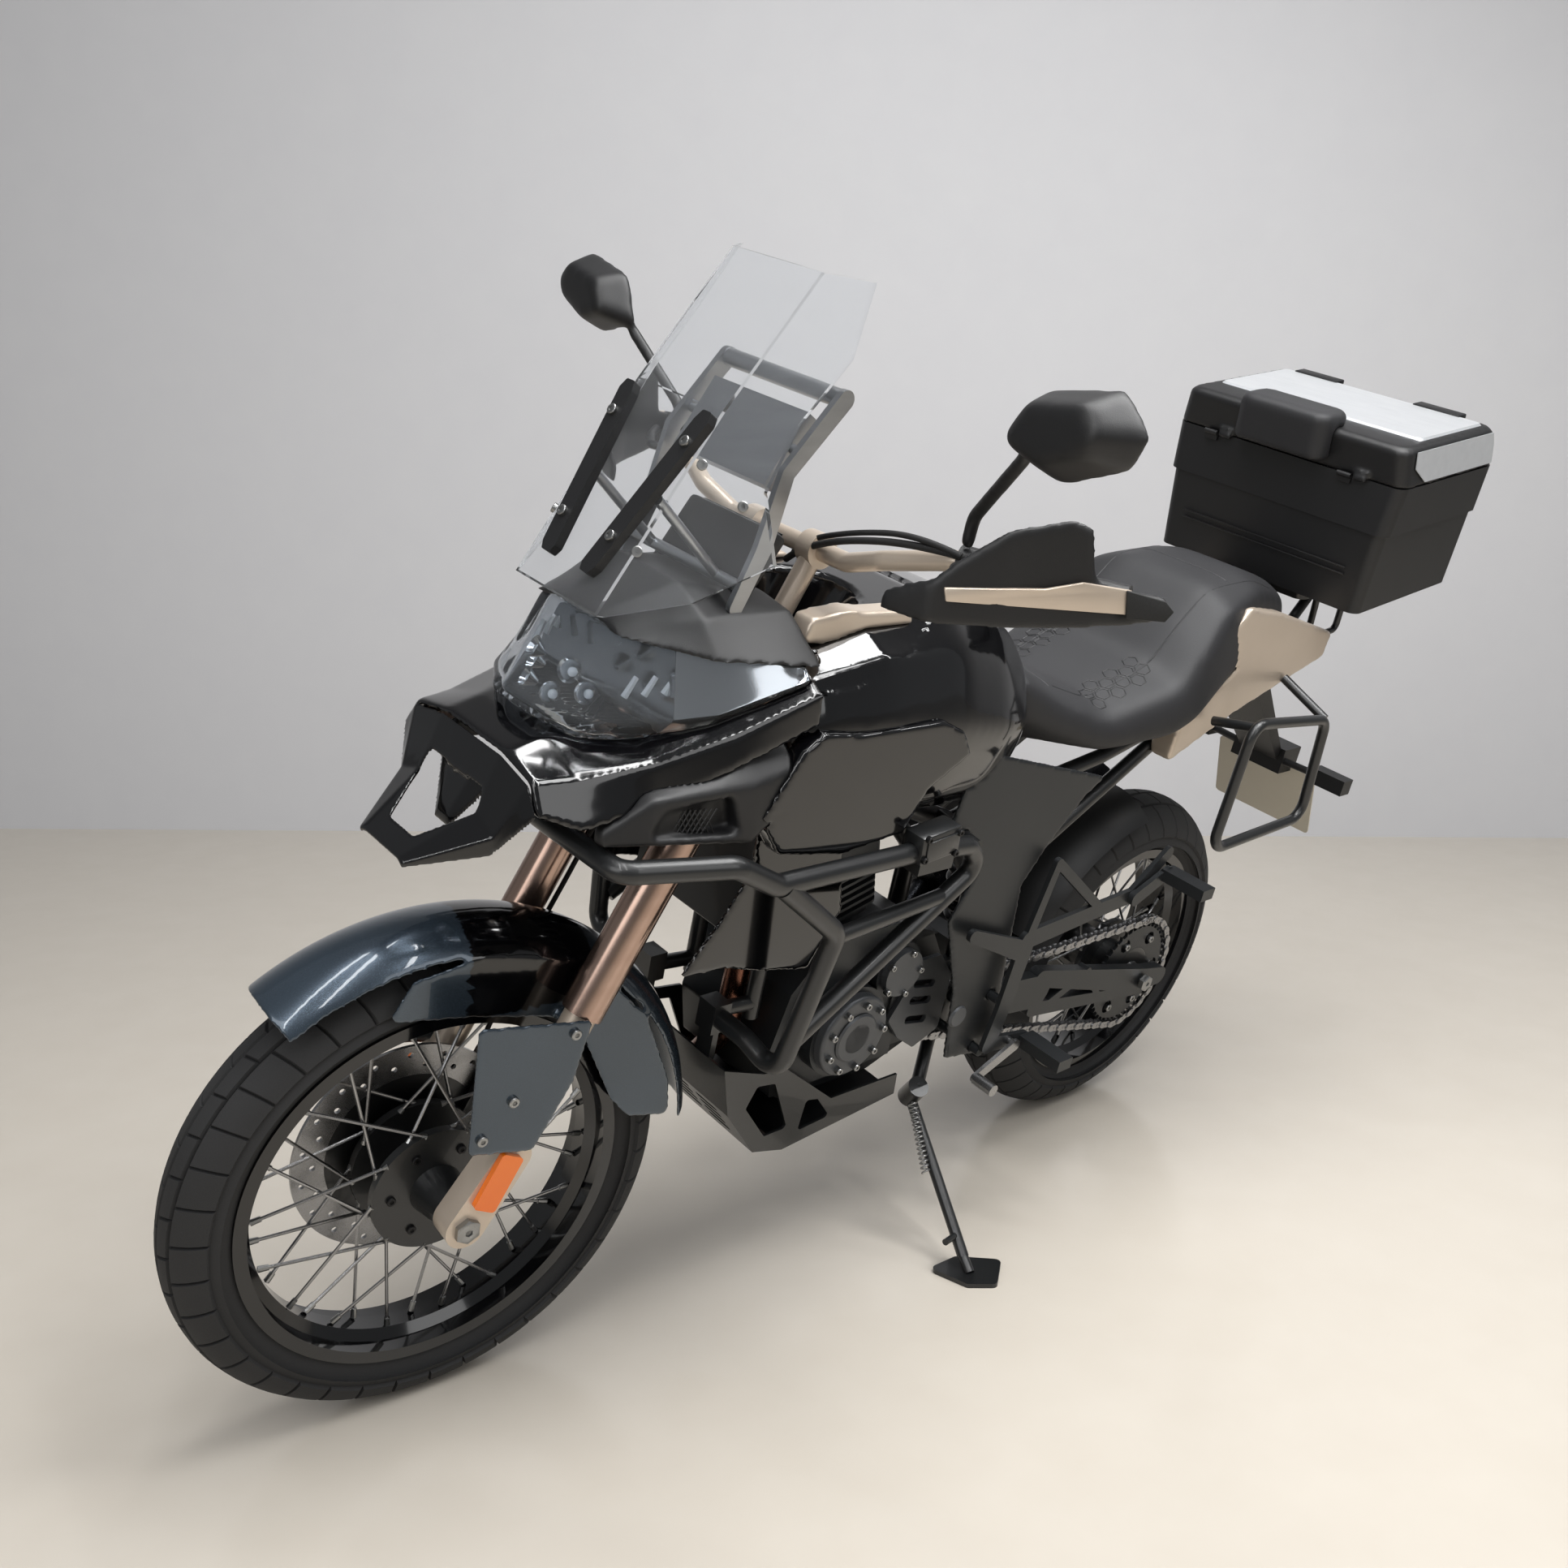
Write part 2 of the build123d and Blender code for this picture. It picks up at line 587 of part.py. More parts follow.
# ---------------------------------------------------------------- frame
steer_clear_r = 152
stand_axis = Vector(0.24, 0.51, 0.83).normalized()
head_low = lower_clamp_up + clamp_t / 2 + 1
head_high = upper_clamp_up - clamp_t / 2 - 1
head_mid = on_fork(0, 0, (head_low + head_high) / 2)
spar = [head_mid, (960, 84, 872), (640, 88, 742), (506, 70, 600), (506, 70, 350)]
down_tube = [on_fork(0, 0, head_low + 26), (962, 66, 800), (945, 66, 640), (945, 66, 478)]
seat_tube = [(640, 88, 742), (300, 96, 800), (60, 96, 862), (-150, 92, 935)]
stay = [(506, 70, 520), (440, 96, 640), (60, 96, 862)]
mount_lug = (1038, 62, 507)
with BuildPart() as main_frame:
    add(rod(on_fork(0, 0, head_low), on_fork(0, 0, head_high), head_tube_r))
    for hand in (1, -1):
        for route in (spar, down_tube, seat_tube, stay):
            add(bar([Vector(*p) if isinstance(p, tuple) else p for p in
                     [(q[0], hand * q[1], q[2]) if isinstance(q, tuple) else q for q in route]], 50,
                    frame_tube_r if route is spar else 12))
        with Locations((506, hand * 70, 405)):
            Box(76, 16, 130)
    for x, z in ((640, 742), (470, 771), (60, 862), (-130, 928)):
        add(rod((x, -88, z), (x, 88, z), 12))
    add(rod(on_fork(0, 0, 1040), on_fork(steer_clear_r - 1.5, 0, 1040), 16))
    for hand in (1, -1):
        add(rod((945, hand * 66, 500), (1018, hand * 66, 507), 11))
        with Locations((1022, hand * 72, 507)):
            Box(30, 34, 44)
    add(bar([(512, 70, 352), (520, 72, 312), Vector(*stand_pivot) + stand_axis * 16], 20, 11))
    with BuildSketch(Plane(origin=stand_pivot, z_dir=stand_axis)):
        Circle(17)
    extrude(amount=26)
    add(rod(on_fork(0, 0, head_low - 1), on_fork(0, 0, head_high + 1), stem_r + running_gap), mode=Mode.SUBTRACT)
    add(rod((swingarm_pivot[0], -90, swingarm_pivot[1]), (swingarm_pivot[0], 90, swingarm_pivot[1]), 17),
        mode=Mode.SUBTRACT)
pieces["main_frame"] = main_frame.part

# ---------------------------------------------------------------- engine, open to view
crank_xz = (799, 445)
case_half = 100
pocket_y = 84
with BuildPart() as engine:
    with BuildSketch(side(0)):
        outline([(548, 470), (600, 548), (700, 590), (845, 590), (905, 520), (925, 430), (905, 345), (850, 305),
                 (660, 300), (548, 340)], 14)
    extrude(amount=case_half, both=True)
    with Locations((590, 100 + pocket_y, 420)):
        Box(130, 200, 260, mode=Mode.SUBTRACT)
    with Locations((740, 170, 300), (740, -170, 300)):
        Box(500, 200, 90, mode=Mode.SUBTRACT)
    add(rod((countershaft[0], 80, countershaft[1]), (countershaft[0], 100, countershaft[1]),
            front_pitch_r - chain_half - seat_gap))
    with BuildSketch(side(case_half + 28)):
        with Locations(crank_xz):
            Circle(74)
    extrude(amount=30)
    with BuildSketch(side(case_half + 20)):
        with Locations((705, 521)):
            Circle(46)
    extrude(amount=22)
    with Locations((674, case_half + 1, 440)):
        Box(20, 6, 60)
    with BuildSketch(side(-case_half + 2)):
        with Locations((770, 420)):
            Circle(88)
    extrude(amount=24)
    cylinder_foot = Plane(origin=(790, 0, 585), x_dir=(cos(radians(14)), 0, -sin(radians(14))),
                          z_dir=(sin(radians(14)), 0, cos(radians(14))))
    with BuildSketch(cylinder_foot):
        RectangleRounded(126, 116, 12)
    extrude(amount=100)
    with BuildSketch(*[cylinder_foot.offset(14 + 13 * n) for n in range(6)]):
        RectangleRounded(146, 132, 16)
    extrude(amount=5)
    with BuildSketch(cylinder_foot.offset(100)):
        RectangleRounded(150, 136, 12)
    extrude(amount=70)
    with BuildSketch(cylinder_foot.offset(170)):
        RectangleRounded(134, 120, 20)
    extrude(amount=30)
pieces["engine"] = engine.part

generator_face = case_half + 28
with BuildPart() as generator_cover:
    with BuildSketch(side(generator_face + 16)):
        with Locations(crank_xz):
            Circle(66)
    extrude(amount=16)
    fillet(generator_cover.faces().sort_by(Axis.Y)[-1].edges(), 6)
    with BuildSketch(side(generator_face + 19)):
        with Locations(crank_xz):
            Circle(24)
    extrude(amount=4)
with BuildPart() as small_cover:
    with BuildSketch(side(case_half + 32)):
        with Locations((705, 521)):
            Circle(38)
    extrude(amount=12)
with BuildPart() as clutch_cover:
    with BuildSketch(side(-case_half - 22)):
        with Locations((770, 420)):
            Circle(78)
    extrude(amount=18)
    fillet(clutch_cover.faces().sort_by(Axis.Y)[0].edges(), 8)
with BuildPart() as sprocket_cover:
    with BuildSketch(side(case_half + 11)):
        outline([(664, 515), (598, 516), (560, 470), (560, 372), (612, 350), (655, 380), (688, 420), (660, 470)], 8)
        with Locations((622, 470), (622, 440), (622, 405)):
            SlotOverall(52, 14, rotation=12, mode=Mode.SUBTRACT)
    extrude(amount=7)
    add(engine.part, mode=Mode.SUBTRACT)
pieces["engine_covers"] = Compound(children=[generator_cover.part, small_cover.part, clutch_cover.part,
                                             sprocket_cover.part])


# ---------------------------------------------------------------- exhaust, skid plate, radiator
port = cylinder_foot.from_local_coords(Vector(75.3, 30, 135))
port_run = cylinder_foot.from_local_coords(Vector(126, 30, 135))
silencer_start, silencer_end = Vector(300, -184, 418), Vector(-190, -200, 545)
with BuildPart() as exhaust:
    add(bar([port, port_run, (950, 30, 440), (930, -50, 320), (880, -93, 309), (620, -93, 309), (530, -150, 307),
             (440, -152, 320), (372, -162, 385), silencer_start], 24, 19))
    add(rod(silencer_start - Vector(0, 0, 0), silencer_end, 52))
    way = (silencer_end - silencer_start).normalized()
    add(rod(silencer_end, silencer_end + way * 24, 30))
    add(rod(silencer_end - way * 60, silencer_end + way * 30, 24), mode=Mode.SUBTRACT)
pieces["exhaust"] = exhaust.part

skid_half = 124
skid_t = 4
skid_outer = [(1032, 447), (953, 417), (907, 411), (795, 323), (650, 320), (646, 282), (880, 260), (942, 278),
              (1008, 364)]
skid_inner = [(1040, 520), (1027, 449), (1003, 367), (939, 283), (880, 264.2), (600, 290.5), (600, 520)]
with BuildPart() as skid_plate:
    with BuildSketch(side(0)):
        outline(skid_outer)
    extrude(amount=skid_half, both=True)
    with BuildSketch(side(0)):
        outline(skid_inner)
    extrude(amount=skid_half - skid_t, both=True, mode=Mode.SUBTRACT)
    with BuildSketch(side(0)):
        outline([(880, 300), (925, 300), (975, 365), (960, 398), (925, 392)], 6)
        outline([(790, 290), (855, 285), (850, 338), (825, 332)], 6)
    extrude(amount=skid_half + 1, both=True, mode=Mode.SUBTRACT)
    face_way = Vector(1008 - 942, 0, 364 - 278).normalized()
    with BuildSketch(Plane(origin=(946, 0, 283), x_dir=(0, 1, 0), z_dir=(face_way.Z, 0, -face_way.X))):
        for row in range(4):
            for column in (-1, 0, 1):
                with Locations((column * 64, 22 + row * 19)):
                    SlotOverall(48, 10)
    extrude(amount=14, both=True, mode=Mode.SUBTRACT)
    with Locations((1025, 72, 463), (1025, -72, 463)):
        Box(10, 30, 44)
pieces["skid_plate"] = skid_plate.part

with BuildPart() as radiator:
    with BuildSketch(side(0)):
        outline([(992, 812), (1022, 812), (1040, 640), (1010, 640)], 3)
    extrude(amount=118, both=True)
    for hand in (1, -1):
        add(rod((976, hand * 66, 780), (1000, hand * 66, 780), 8))
        add(rod((954, hand * 66, 660), (1012, hand * 66, 660), 8))
    add(main_frame.part, mode=Mode.SUBTRACT)
pieces["radiator"] = radiator.part

# ---------------------------------------------------------------- room for the steering to swing
with BuildPart() as steering_space:
    add(rod(on_fork(0, 0, 860), on_fork(0, 0, 1152), steer_clear_r))
    with Locations(Plane(origin=on_fork(-80, 0, 1000), x_dir=fork.x_dir, z_dir=fork.z_dir).location):
        Box(600, 600, 900, align=(Align.MIN, Align.CENTER, Align.CENTER), mode=Mode.INTERSECT)
    add(rod(on_fork(0, 0, 1100), on_fork(0, 0, 1340), 94))


def mirrored(points):
    """A closed cross-section from its left half, given as (y, z) from the bottom to the top."""
    return points + [(-y, z) for y, z in reversed(points)]


def body_loft(rows):
    """A body through cross-sections, each row (x, left half)."""
    return lofted([(station(x), mirrored(points)) for x, points in rows])


def shell_loft(rows, wall, open_by=60):
    """The same as a thin shell, open below and at both ends."""
    inner = [(x, [(points[0][0] - wall, points[0][1] - open_by)] + [(y - wall, z - wall) for y, z in points[1:]])
             for x, points in rows]
    return body_loft(rows) - body_loft(inner)


# ---------------------------------------------------------------- tank and side panels
tank_rows = [
    (1080, [(150, 900), (196, 930), (200, 985), (170, 1040), (120, 1058)]),
    (950, [(150, 860), (190, 900), (208, 975), (175, 1060), (112, 1088)]),
    (800, [(150, 812), (182, 860), (203, 950), (170, 1050), (105, 1098)]),
    (680, [(130, 798), (160, 840), (182, 930), (142, 1030), (85, 1075)]),
    (588, [(105, 800), (130, 840), (150, 920), (120, 990), (70, 1032)]),
]
with BuildPart() as fuel_tank:
    add(body_loft(tank_rows))
    with BuildSketch(side(0)):
        outline([(1120, 780), (1120, 935), (940, 920), (690, 806), (690, 780)])
    extrude(amount=128, both=True, mode=Mode.SUBTRACT)
    add(steering_space.part, mode=Mode.SUBTRACT)
pieces["fuel_tank"] = fuel_tank.part

tank_cover = plate(side(132), [(1056, 1072), (1046, 1100), (985, 1107), (952, 1102), (884, 1100), (868, 1088), (868, 1060), (930, 1050)],
                   34, 6) - fuel_tank.part - steering_space.part
pieces["tank_cover"] = both_sides(tank_cover)

side_panel = plate(side(214), [(1150, 893), (1100, 971), (1071, 990), (1004, 981), (859, 980), (814, 960), (790, 925),
                               (860, 885), (890, 828), (1000, 818), (1110, 838)], 30, 4) - fuel_tank.part
shroud = plate(side(172), [(1192, 664), (1141, 733), (1106, 792), (1110, 874), (1000, 880), (950, 800), (925, 700),
                           (967, 619), (1060, 640), (1120, 660)], 6, 4)
with BuildPart() as shroud_left:
    add(shroud)
    add(rod((1012, 118, 740), (1012, 167, 740), 8))
    add(rod((1040, 171, 862), (1040, 185, 862), 8))

# ---------------------------------------------------------------- lamp, fairing and beak
lamp_rows = [
    (1368, [(30, 978), (38, 986), (26, 994)]),
    (1330, [(78, 962), (96, 986), (50, 1040)]),
    (1285, [(104, 963), (122, 988), (80, 1078)]),
    (1200, [(138, 980), (158, 1004), (138, 1066)]),
    (1085, [(176, 1036), (186, 1046), (174, 1060)]),
]
lens_t = 3
lamp_inner = [(x if x == 1085 else x - 3 * lens_t, [(y - 2 * lens_t, z + lens_t) if n == 0 else (y - 2 * lens_t, z) if n == 1 else
                                (y - 2 * lens_t, z - lens_t) for n, (y, z) in enumerate(points)])
              for x, points in lamp_rows]
lamp_outer = body_loft(lamp_rows)
lamp_box = body_loft(lamp_inner)
with BuildPart() as lens:
    add(lamp_outer)
    add(lamp_box, mode=Mode.SUBTRACT)
    add(steering_space.part, mode=Mode.SUBTRACT)
pieces["headlight_lens"] = lens.part
with BuildPart() as headlight:
    add(lamp_box)
    with BuildSketch(side(0)):
        outline([(1245, 940), (1292, 940), (1420, 940), (1420, 1100), (1225, 1100)])
    extrude(amount=200, both=True, mode=Mode.SUBTRACT)
    add(steering_space.part, mode=Mode.SUBTRACT)
pieces["headlight"] = headlight.part

fairing_rows = [
    (1412, [(142, 905), (120, 938), (60, 950)]),
    (1363, [(160, 888), (132, 940), (64, 962)]),
    (1273, [(170, 906), (156, 958), (100, 974)]),
    (1180, [(190, 950), (178, 990), (140, 1006)]),
    (1072, [(202, 996), (198, 1036), (176, 1046)]),
]
with BuildPart() as fairing:
    add(shell_loft(fairing_rows, 5))
    add(lamp_outer, mode=Mode.SUBTRACT)
    add(steering_space.part, mode=Mode.SUBTRACT)
    add(fuel_tank.part, mode=Mode.SUBTRACT)
pieces["fairing"] = fairing.part

beak_rows = [
    (1514, [(46, 818), (48, 824), (40, 828)]),
    (1437, [(100, 844), (98, 866), (60, 880)]),
    (1412.3, [(142, 905), (120, 938), (60, 950)]),
]
with BuildPart() as beak:
    add(shell_loft(beak_rows, 5))
    with BuildSketch(level(700)):
        outline([(1490, -26), (1490, 26), (1428, 66), (1428, -66)], 8)
    extrude(amount=400, mode=Mode.SUBTRACT)
    add(lofted([(Plane(origin=(1440, 0, 846), x_dir=(0, 1, 0), z_dir=(1, 0, 0)), [(-16, -8), (16, -8), (10, 6), (-10, 6)]),
                (Plane(origin=(1412.3, 0, 925), x_dir=(0, 1, 0), z_dir=(1, 0, 0)),
                 [(-58, -18), (58, -18), (34, 14), (-34, 14)])]))
pieces["beak"] = beak.part

cowl_rows = [
    (1292, [(84, 1079), (62, 1085), (30, 1088)]),
    (1200, [(150, 1066), (112, 1104), (56, 1130)]),
    (1066, [(182, 1060), (112, 1106), (60, 1112)]),
]
with BuildPart() as upper_cowl:
    add(shell_loft(cowl_rows, 4))
    add(lamp_outer, mode=Mode.SUBTRACT)
    add(steering_space.part, mode=Mode.SUBTRACT)
pieces["upper_cowl"] = upper_cowl.part

vent_rows = [
    (1340, [(146, 866), (166, 868), (162, 884), (146, 884)]),
    (1290, [(140, 866), (192, 873), (182, 925), (140, 930)]),
    (1160, [(150, 860), (214, 864), (206, 935), (150, 985)]),
    (1100, [(160, 900), (210, 905), (207, 950), (160, 982)]),
]
with BuildPart() as vent_cowl:
    for row_from, row_to in ((0, 3),):
        for x, points in vent_rows:
            with BuildSketch(station(x)):
                outline(points)
        loft(ruled=True)
    with BuildSketch(side(230)):
        outline([(1296, 880), (1276, 912), (1190, 922), (1176, 876)], 8)
    extrude(amount=46, mode=Mode.SUBTRACT)
    add(fairing.part, mode=Mode.SUBTRACT)
    add(steering_space.part, mode=Mode.SUBTRACT)
    add(fuel_tank.part, mode=Mode.SUBTRACT)
vent_left = vent_cowl.part.solids().sort_by(SortBy.VOLUME)[-1]
pieces["vent_cowls"] = both_sides(vent_left)
side_panel = (side_panel - vent_left - fairing.part).solids().sort_by(SortBy.VOLUME)[-1]
pieces["side_panels"] = both_sides(side_panel)
shroud_piece = (shroud_left.part - vent_left - side_panel - fuel_tank.part).solids().sort_by(SortBy.VOLUME)[-1]
pieces["shrouds"] = both_sides(shroud_piece)

# ---------------------------------------------------------------- windscreen
screen_foot = (1328, 1105)
screen_knee = (1195, 1328)
screen_top = (1086, 1483)
screen_t = 4
flat_half = 76
wing_slope = 1.15


def screen_x(z):
    """How far forward the screen's flat middle is at a height."""
    low, high = (screen_foot, screen_knee) if z <= screen_knee[1] else (screen_knee, screen_top)
    return low[0] + (high[0] - low[0]) * (z - low[1]) / (high[1] - low[1])


def screen_row(z, half):
    """The screen's horizontal section: a flat middle and two wings swept back."""
    front = [(screen_x(z), flat_half), (screen_x(z) - wing_slope * (half - flat_half), half)]
    left = front + [(x - screen_t * 1.3, y) for x, y in reversed(front)]
    order = [left[2], left[1], left[0]]
    right = [(x, -y) for x, y in reversed(order)]
    return order + right + [(left[3][0], -left[3][1]), left[3]]


with BuildPart() as windscreen:
    for z, half in ((1105, 82), (1134, 134), (1186, 172), (1256, 136), (1328, 130), (1403, 134), (1483, 114)):
        with BuildSketch(level(z)):
            outline(screen_row(z, half))
    loft(ruled=True)
pieces["windscreen"] = windscreen.part

slope = Vector(screen_knee[0] - screen_foot[0], 0, screen_knee[1] - screen_foot[1]).normalized()
screen_plane = Plane(origin=(screen_foot[0], 0, screen_foot[1]), x_dir=(0, 1, 0), z_dir=(slope.Z, 0, -slope.X))
with BuildPart() as screen_bar:
    with BuildSketch(screen_plane):
        outline([(26, 46), (30, 36), (44, 36), (50, 46), (80, 240), (76, 252), (62, 252), (57, 240)], 3)
    extrude(amount=12)
pieces["screen_bars"] = both_sides(screen_bar.part)

arm_rows = [((1040, 1352), 12, (1108, 1268), 10), ((1108, 1268), 10, (1124, 1180), 12), ((1124, 1180), 12, (1150, 1112), 10)]
with BuildPart() as screen_support:
    for hand in (1, -1):
        add(struts(side(hand * 103 + 4), arm_rows, 8))
        add(rod((1086, hand * 80, 1290), (1086, hand * 100, 1290), 6))
        add(rod((1146, hand * 60, 1136), (1256, hand * 62, 1232), 6))
    add(rod((1040, -104, 1352), (1040, 104, 1352), 11))
    add(rod((1146, -100, 1136), (1146, 100, 1136), 7))
    with Locations(Plane(origin=(1088, 0, 1286), x_dir=(0.5, 0, -0.866), z_dir=(0.866, 0, 0.5)).location):
        Box(96, 166, 20)
    add(upper_cowl.part, mode=Mode.SUBTRACT)
    add(windscreen.part, mode=Mode.SUBTRACT)
support_solid = screen_support.part.solids().sort_by(SortBy.VOLUME)[-1]
pieces["screen_support"] = support_solid

# ---------------------------------------------------------------- crash bars
bar_upper = [(1332, 120, 846), (1329, 190, 847), (1203, 240, 855), (1132, 240, 816), (861, 222, 800), (735, 206, 778),
             (694, 200, 738), (1006, 208, 545)]
bar_lower = [(1120, 240, 812), (1007, 240, 722), (1018, 204, 488), (1022, 140, 507), (1022, 89, 507)]
with BuildPart() as crash_bars:
    add(bar([(1332, -60, 846)] + [(1332, 60, 846)] + bar_upper[1:], 26, crash_bar_r))
    add(bar(bar_lower, 30, crash_bar_r))
    add(rod((1006, 239, 716), (742, 198, 700), 11))
    with Locations((838, 219, 796)):
        Box(66, 38, 46)
    add(rod((700, 196, 764), (676, 98, 762), 9))
crash_left = crash_bars.part - main_frame.part
crash_left = crash_left.solids().sort_by(SortBy.VOLUME)[-1]
pieces["crash_bars"] = crash_left.fuse(crash_left.mirror(Plane.XZ))

# ---------------------------------------------------------------- footrests and mid covers
with BuildPart() as hanger:
    add(struts(side(190), [
        ((640, 600), 10, (500, 540), 18), ((500, 540), 18, (512, 440), 16), ((512, 440), 16, (524, 376), 16),
        ((500, 560), 16, (236, 580), 13), ((236, 580), 13, (160, 645), 11), ((473, 688), 8, (318, 574), 8),
        ((473, 688), 8, (500, 552), 10), ((524, 376), 14, (431, 362), 11),
    ], 8))
    add(rod((524, 78, 456), (524, 183, 456), 8))
    add(rod((534, 78, 362), (534, 183, 362), 8))
    add(main_frame.part, mode=Mode.SUBTRACT)
    with Locations((431, 232, 362), (160, 236, 612)):
        Box(34, 84, 20)
    add(rod((236, 182, 580), (236, 196, 580), 13))
    add(struts(side(200), [((236, 580), 13, (160, 612), 12)], 8))
pieces["footrest_hangers"] = both_sides(hanger.part)

cover_points = [(707, 897), (377, 808), (419, 781), (480, 710), (520, 649), (500, 487), (484, 338), (598, 358),
                (621, 487), (677, 620), (642, 690), (727, 791)]
side_cover = plate(side(166), cover_points, 6, 5) - fuel_tank.part - hanger.part - crash_left
side_cover = side_cover.solids().sort_by(SortBy.VOLUME)[-1]
pieces["side_covers"] = both_sides(side_cover)

with BuildPart() as gear_lever:
    add(struts(side(204), [((472, 368), 10, (556, 332), 8)], 6))
    add(rod((472, 190, 368), (472, 200, 368), 7))
    add(rod((556, 203, 332), (556, 240, 332), 10))
with BuildPart() as brake_pedal:
    add(struts(side(-198), [((472, 368), 10, (570, 330), 8)], 6))
    add(rod((472, -190, 368), (472, -200, 368), 7))
    with Locations((570, -216, 332)):
        Box(30, 36, 10)
pieces["foot_controls"] = Compound(children=[gear_lever.part, brake_pedal.part])

# ---------------------------------------------------------------- seat and tail
seat_rows = [
    (566, [(70, 867), (110, 900), (110, 960), (60, 985)]),
    (480, [(110, 856), (128, 880), (118, 922), (60, 940)]),
    (372, [(140, 838), (152, 852), (140, 888), (70, 905)]),
    (230, [(150, 850), (180, 868), (165, 932), (80, 950)]),
    (180, [(150, 864), (178, 890), (158, 985), (90, 1010)]),
    (120, [(130, 885), (162, 915), (145, 1045), (85, 1068)]),
    (0, [(100, 930), (130, 960), (118, 1065), (60, 1085)]),
    (-125, [(90, 985), (108, 1000), (100, 1036), (60, 1055)]),
]
with BuildPart() as seat:
    add(body_loft(seat_rows))
pieces["seat"] = seat.part

tail_panel = plate(side(146), [(177, 792), (16, 860), (-236, 940), (-240, 985), (-60, 1030), (60, 1050), (170, 930)],
                   42, 6) - seat.part
tail_panel = tail_panel - main_frame.part
tail_panel = tail_panel.solids().sort_by(SortBy.VOLUME)[-1]
pieces["tail_panels"] = both_sides(tail_panel)

with BuildPart() as shock:
    top, bottom = Vector(470, 0, 771 - 12 - seat_gap - 20), Vector(388.3, 0, 400)
    add(rod(bottom, top, 20))
    with Locations(Plane(origin=top, z_dir=(0, 1, 0)).location):
        Cylinder(20, 40)
    spring_way = (top - bottom).normalized()
    with Locations(*[Plane(origin=bottom + spring_way * (90 + 24 * n), z_dir=spring_way).location for n in range(9)]):
        Torus(30, 6)
        Cylinder(26, 6)
    add(swingarm.part, mode=Mode.SUBTRACT)
pieces["shock"] = shock.part.solids().sort_by(SortBy.VOLUME)[-1]

hugger_from, hugger_to = 22, 80
hugger_start = Plane(origin=rear_centre, x_dir=(cos(radians(hugger_from)), 0, sin(radians(hugger_from))),
                     z_dir=(-sin(radians(hugger_from)), 0, cos(radians(hugger_from))))
with BuildPart() as hugger:
    with BuildSketch(hugger_start):
        with BuildLine():
            ThreePointArc((316, 78), (352, 0), (316, -78))
            Line((316, 78), (316, 75))
            ThreePointArc((316, 75), (349, 0), (316, -75))
            Line((316, -78), (316, -75))
        make_face()
    revolve(axis=Axis(rear_centre, (0, -1, 0)), revolution_arc=hugger_to - hugger_from)
    add(struts(side(-75), [((300, 408), 10, (290, 470), 14)], 5))
    add(rod((300, -78, 408), (300, -arm_y, 408), 9))
pieces["hugger"] = hugger.part

# ---------------------------------------------------------------- carrier and top case
case_frame = tilted(case_tilt, (case_front_low[0], 0, case_front_low[1]))


def case_loft(*rows):
    """A body through rounded rectangles across the case, each row (height, front, back, half, corner)."""
    sections = []
    for height, front, back, half, corner in rows:
        with BuildSketch(case_frame.offset(height)) as section:
            with Locations(((front + back) / 2, 0)):
                RectangleRounded(back - front, 2 * half, corner)
        sections.append(section.sketch.face())
    with BuildPart() as made:
        loft(sections, ruled=True)
    return made.part


step_high = 140
wall = case_wall
rear = case_length
with BuildPart() as case_body:
    add(case_loft((0, 0, rear, case_half_low, 18), (step_high, 3, rear + 2, case_half_low + 8, 18)))
    add(case_loft((step_high, 0, rear + 5, case_half_high - 5, 20), (case_height, 8, rear + 5, case_half_high, 20)))
    add(case_loft((wall, wall, rear - wall, case_half_low - wall, 14),
                  (case_height, 8 + wall + 3, rear - wall, case_half_low + 4, 14)), mode=Mode.SUBTRACT)
hinge_at = case_frame.from_local_coords(Vector(1, 0, case_height))
hinge_places = (-132, 132)
with BuildPart() as hinge_low:
    for place in hinge_places:
        add(rod(hinge_at + Vector(0, place - 26, 0), hinge_at + Vector(0, place - 1, 0), 4.5))
        with Locations(case_frame.location * Location((5.5, -(place - 13.5), case_height - 7))):
            Box(9, 25, 12)
pieces["case_body"] = case_body.part.fuse(*[part - case_body.part for part in [hinge_low.part]])

lid_top = case_height + lid_height
with BuildPart() as case_lid:
    add(case_loft((case_height + seat_gap, 8, rear + 5, case_half_high, 20), (lid_top - 8, 2, rear - 4, case_half_high - 8, 22)))
    add(case_loft((lid_top - 8, 2, rear - 4, case_half_high - 8, 22), (lid_top, 10, rear - 12, case_half_high - 16, 22)))
    add(case_loft((case_height + seat_gap, 8 + wall + 3, rear - wall, case_half_low + 4, 14),
                  (lid_top - 8 - wall, 8 + wall, rear - 12 - wall, case_half_low - 4, 14)), mode=Mode.SUBTRACT)
    for place in hinge_places:
        add(rod(hinge_at + Vector(0, place + 1, 0), hinge_at + Vector(0, place + 26, 0), 4.5))
        with Locations(case_frame.location * Location((6, -(place + 13.5), case_height + 7))):
            Box(10, 25, 12)
    for latch in (-105, 130):
        with Locations(case_frame.location * Location((case_length + 3, -latch, case_height + 30))):
            Box(10, 92, 44)
pieces["case_lid"] = case_lid.part
pieces["lid_panel"] = case_loft((lid_top, 76, rear - 26, case_half_high - 26, 8),
                                (lid_top + 4, 79, rear - 29, case_half_high - 29, 8))
with BuildPart() as backrest:
    with BuildSketch(case_frame.offset(case_height + 14)):
        with Locations((8, 4)):
            RectangleRounded(84, 172, 26)
    extrude(amount=76)
    fillet(backrest.faces().sort_by(Axis.Z)[-1].edges(), 14)
    add(case_lid.part, mode=Mode.SUBTRACT)
    add(pieces["lid_panel"], mode=Mode.SUBTRACT)
pieces["backrest_pad"] = backrest.part.solids().sort_by(SortBy.VOLUME)[-1]

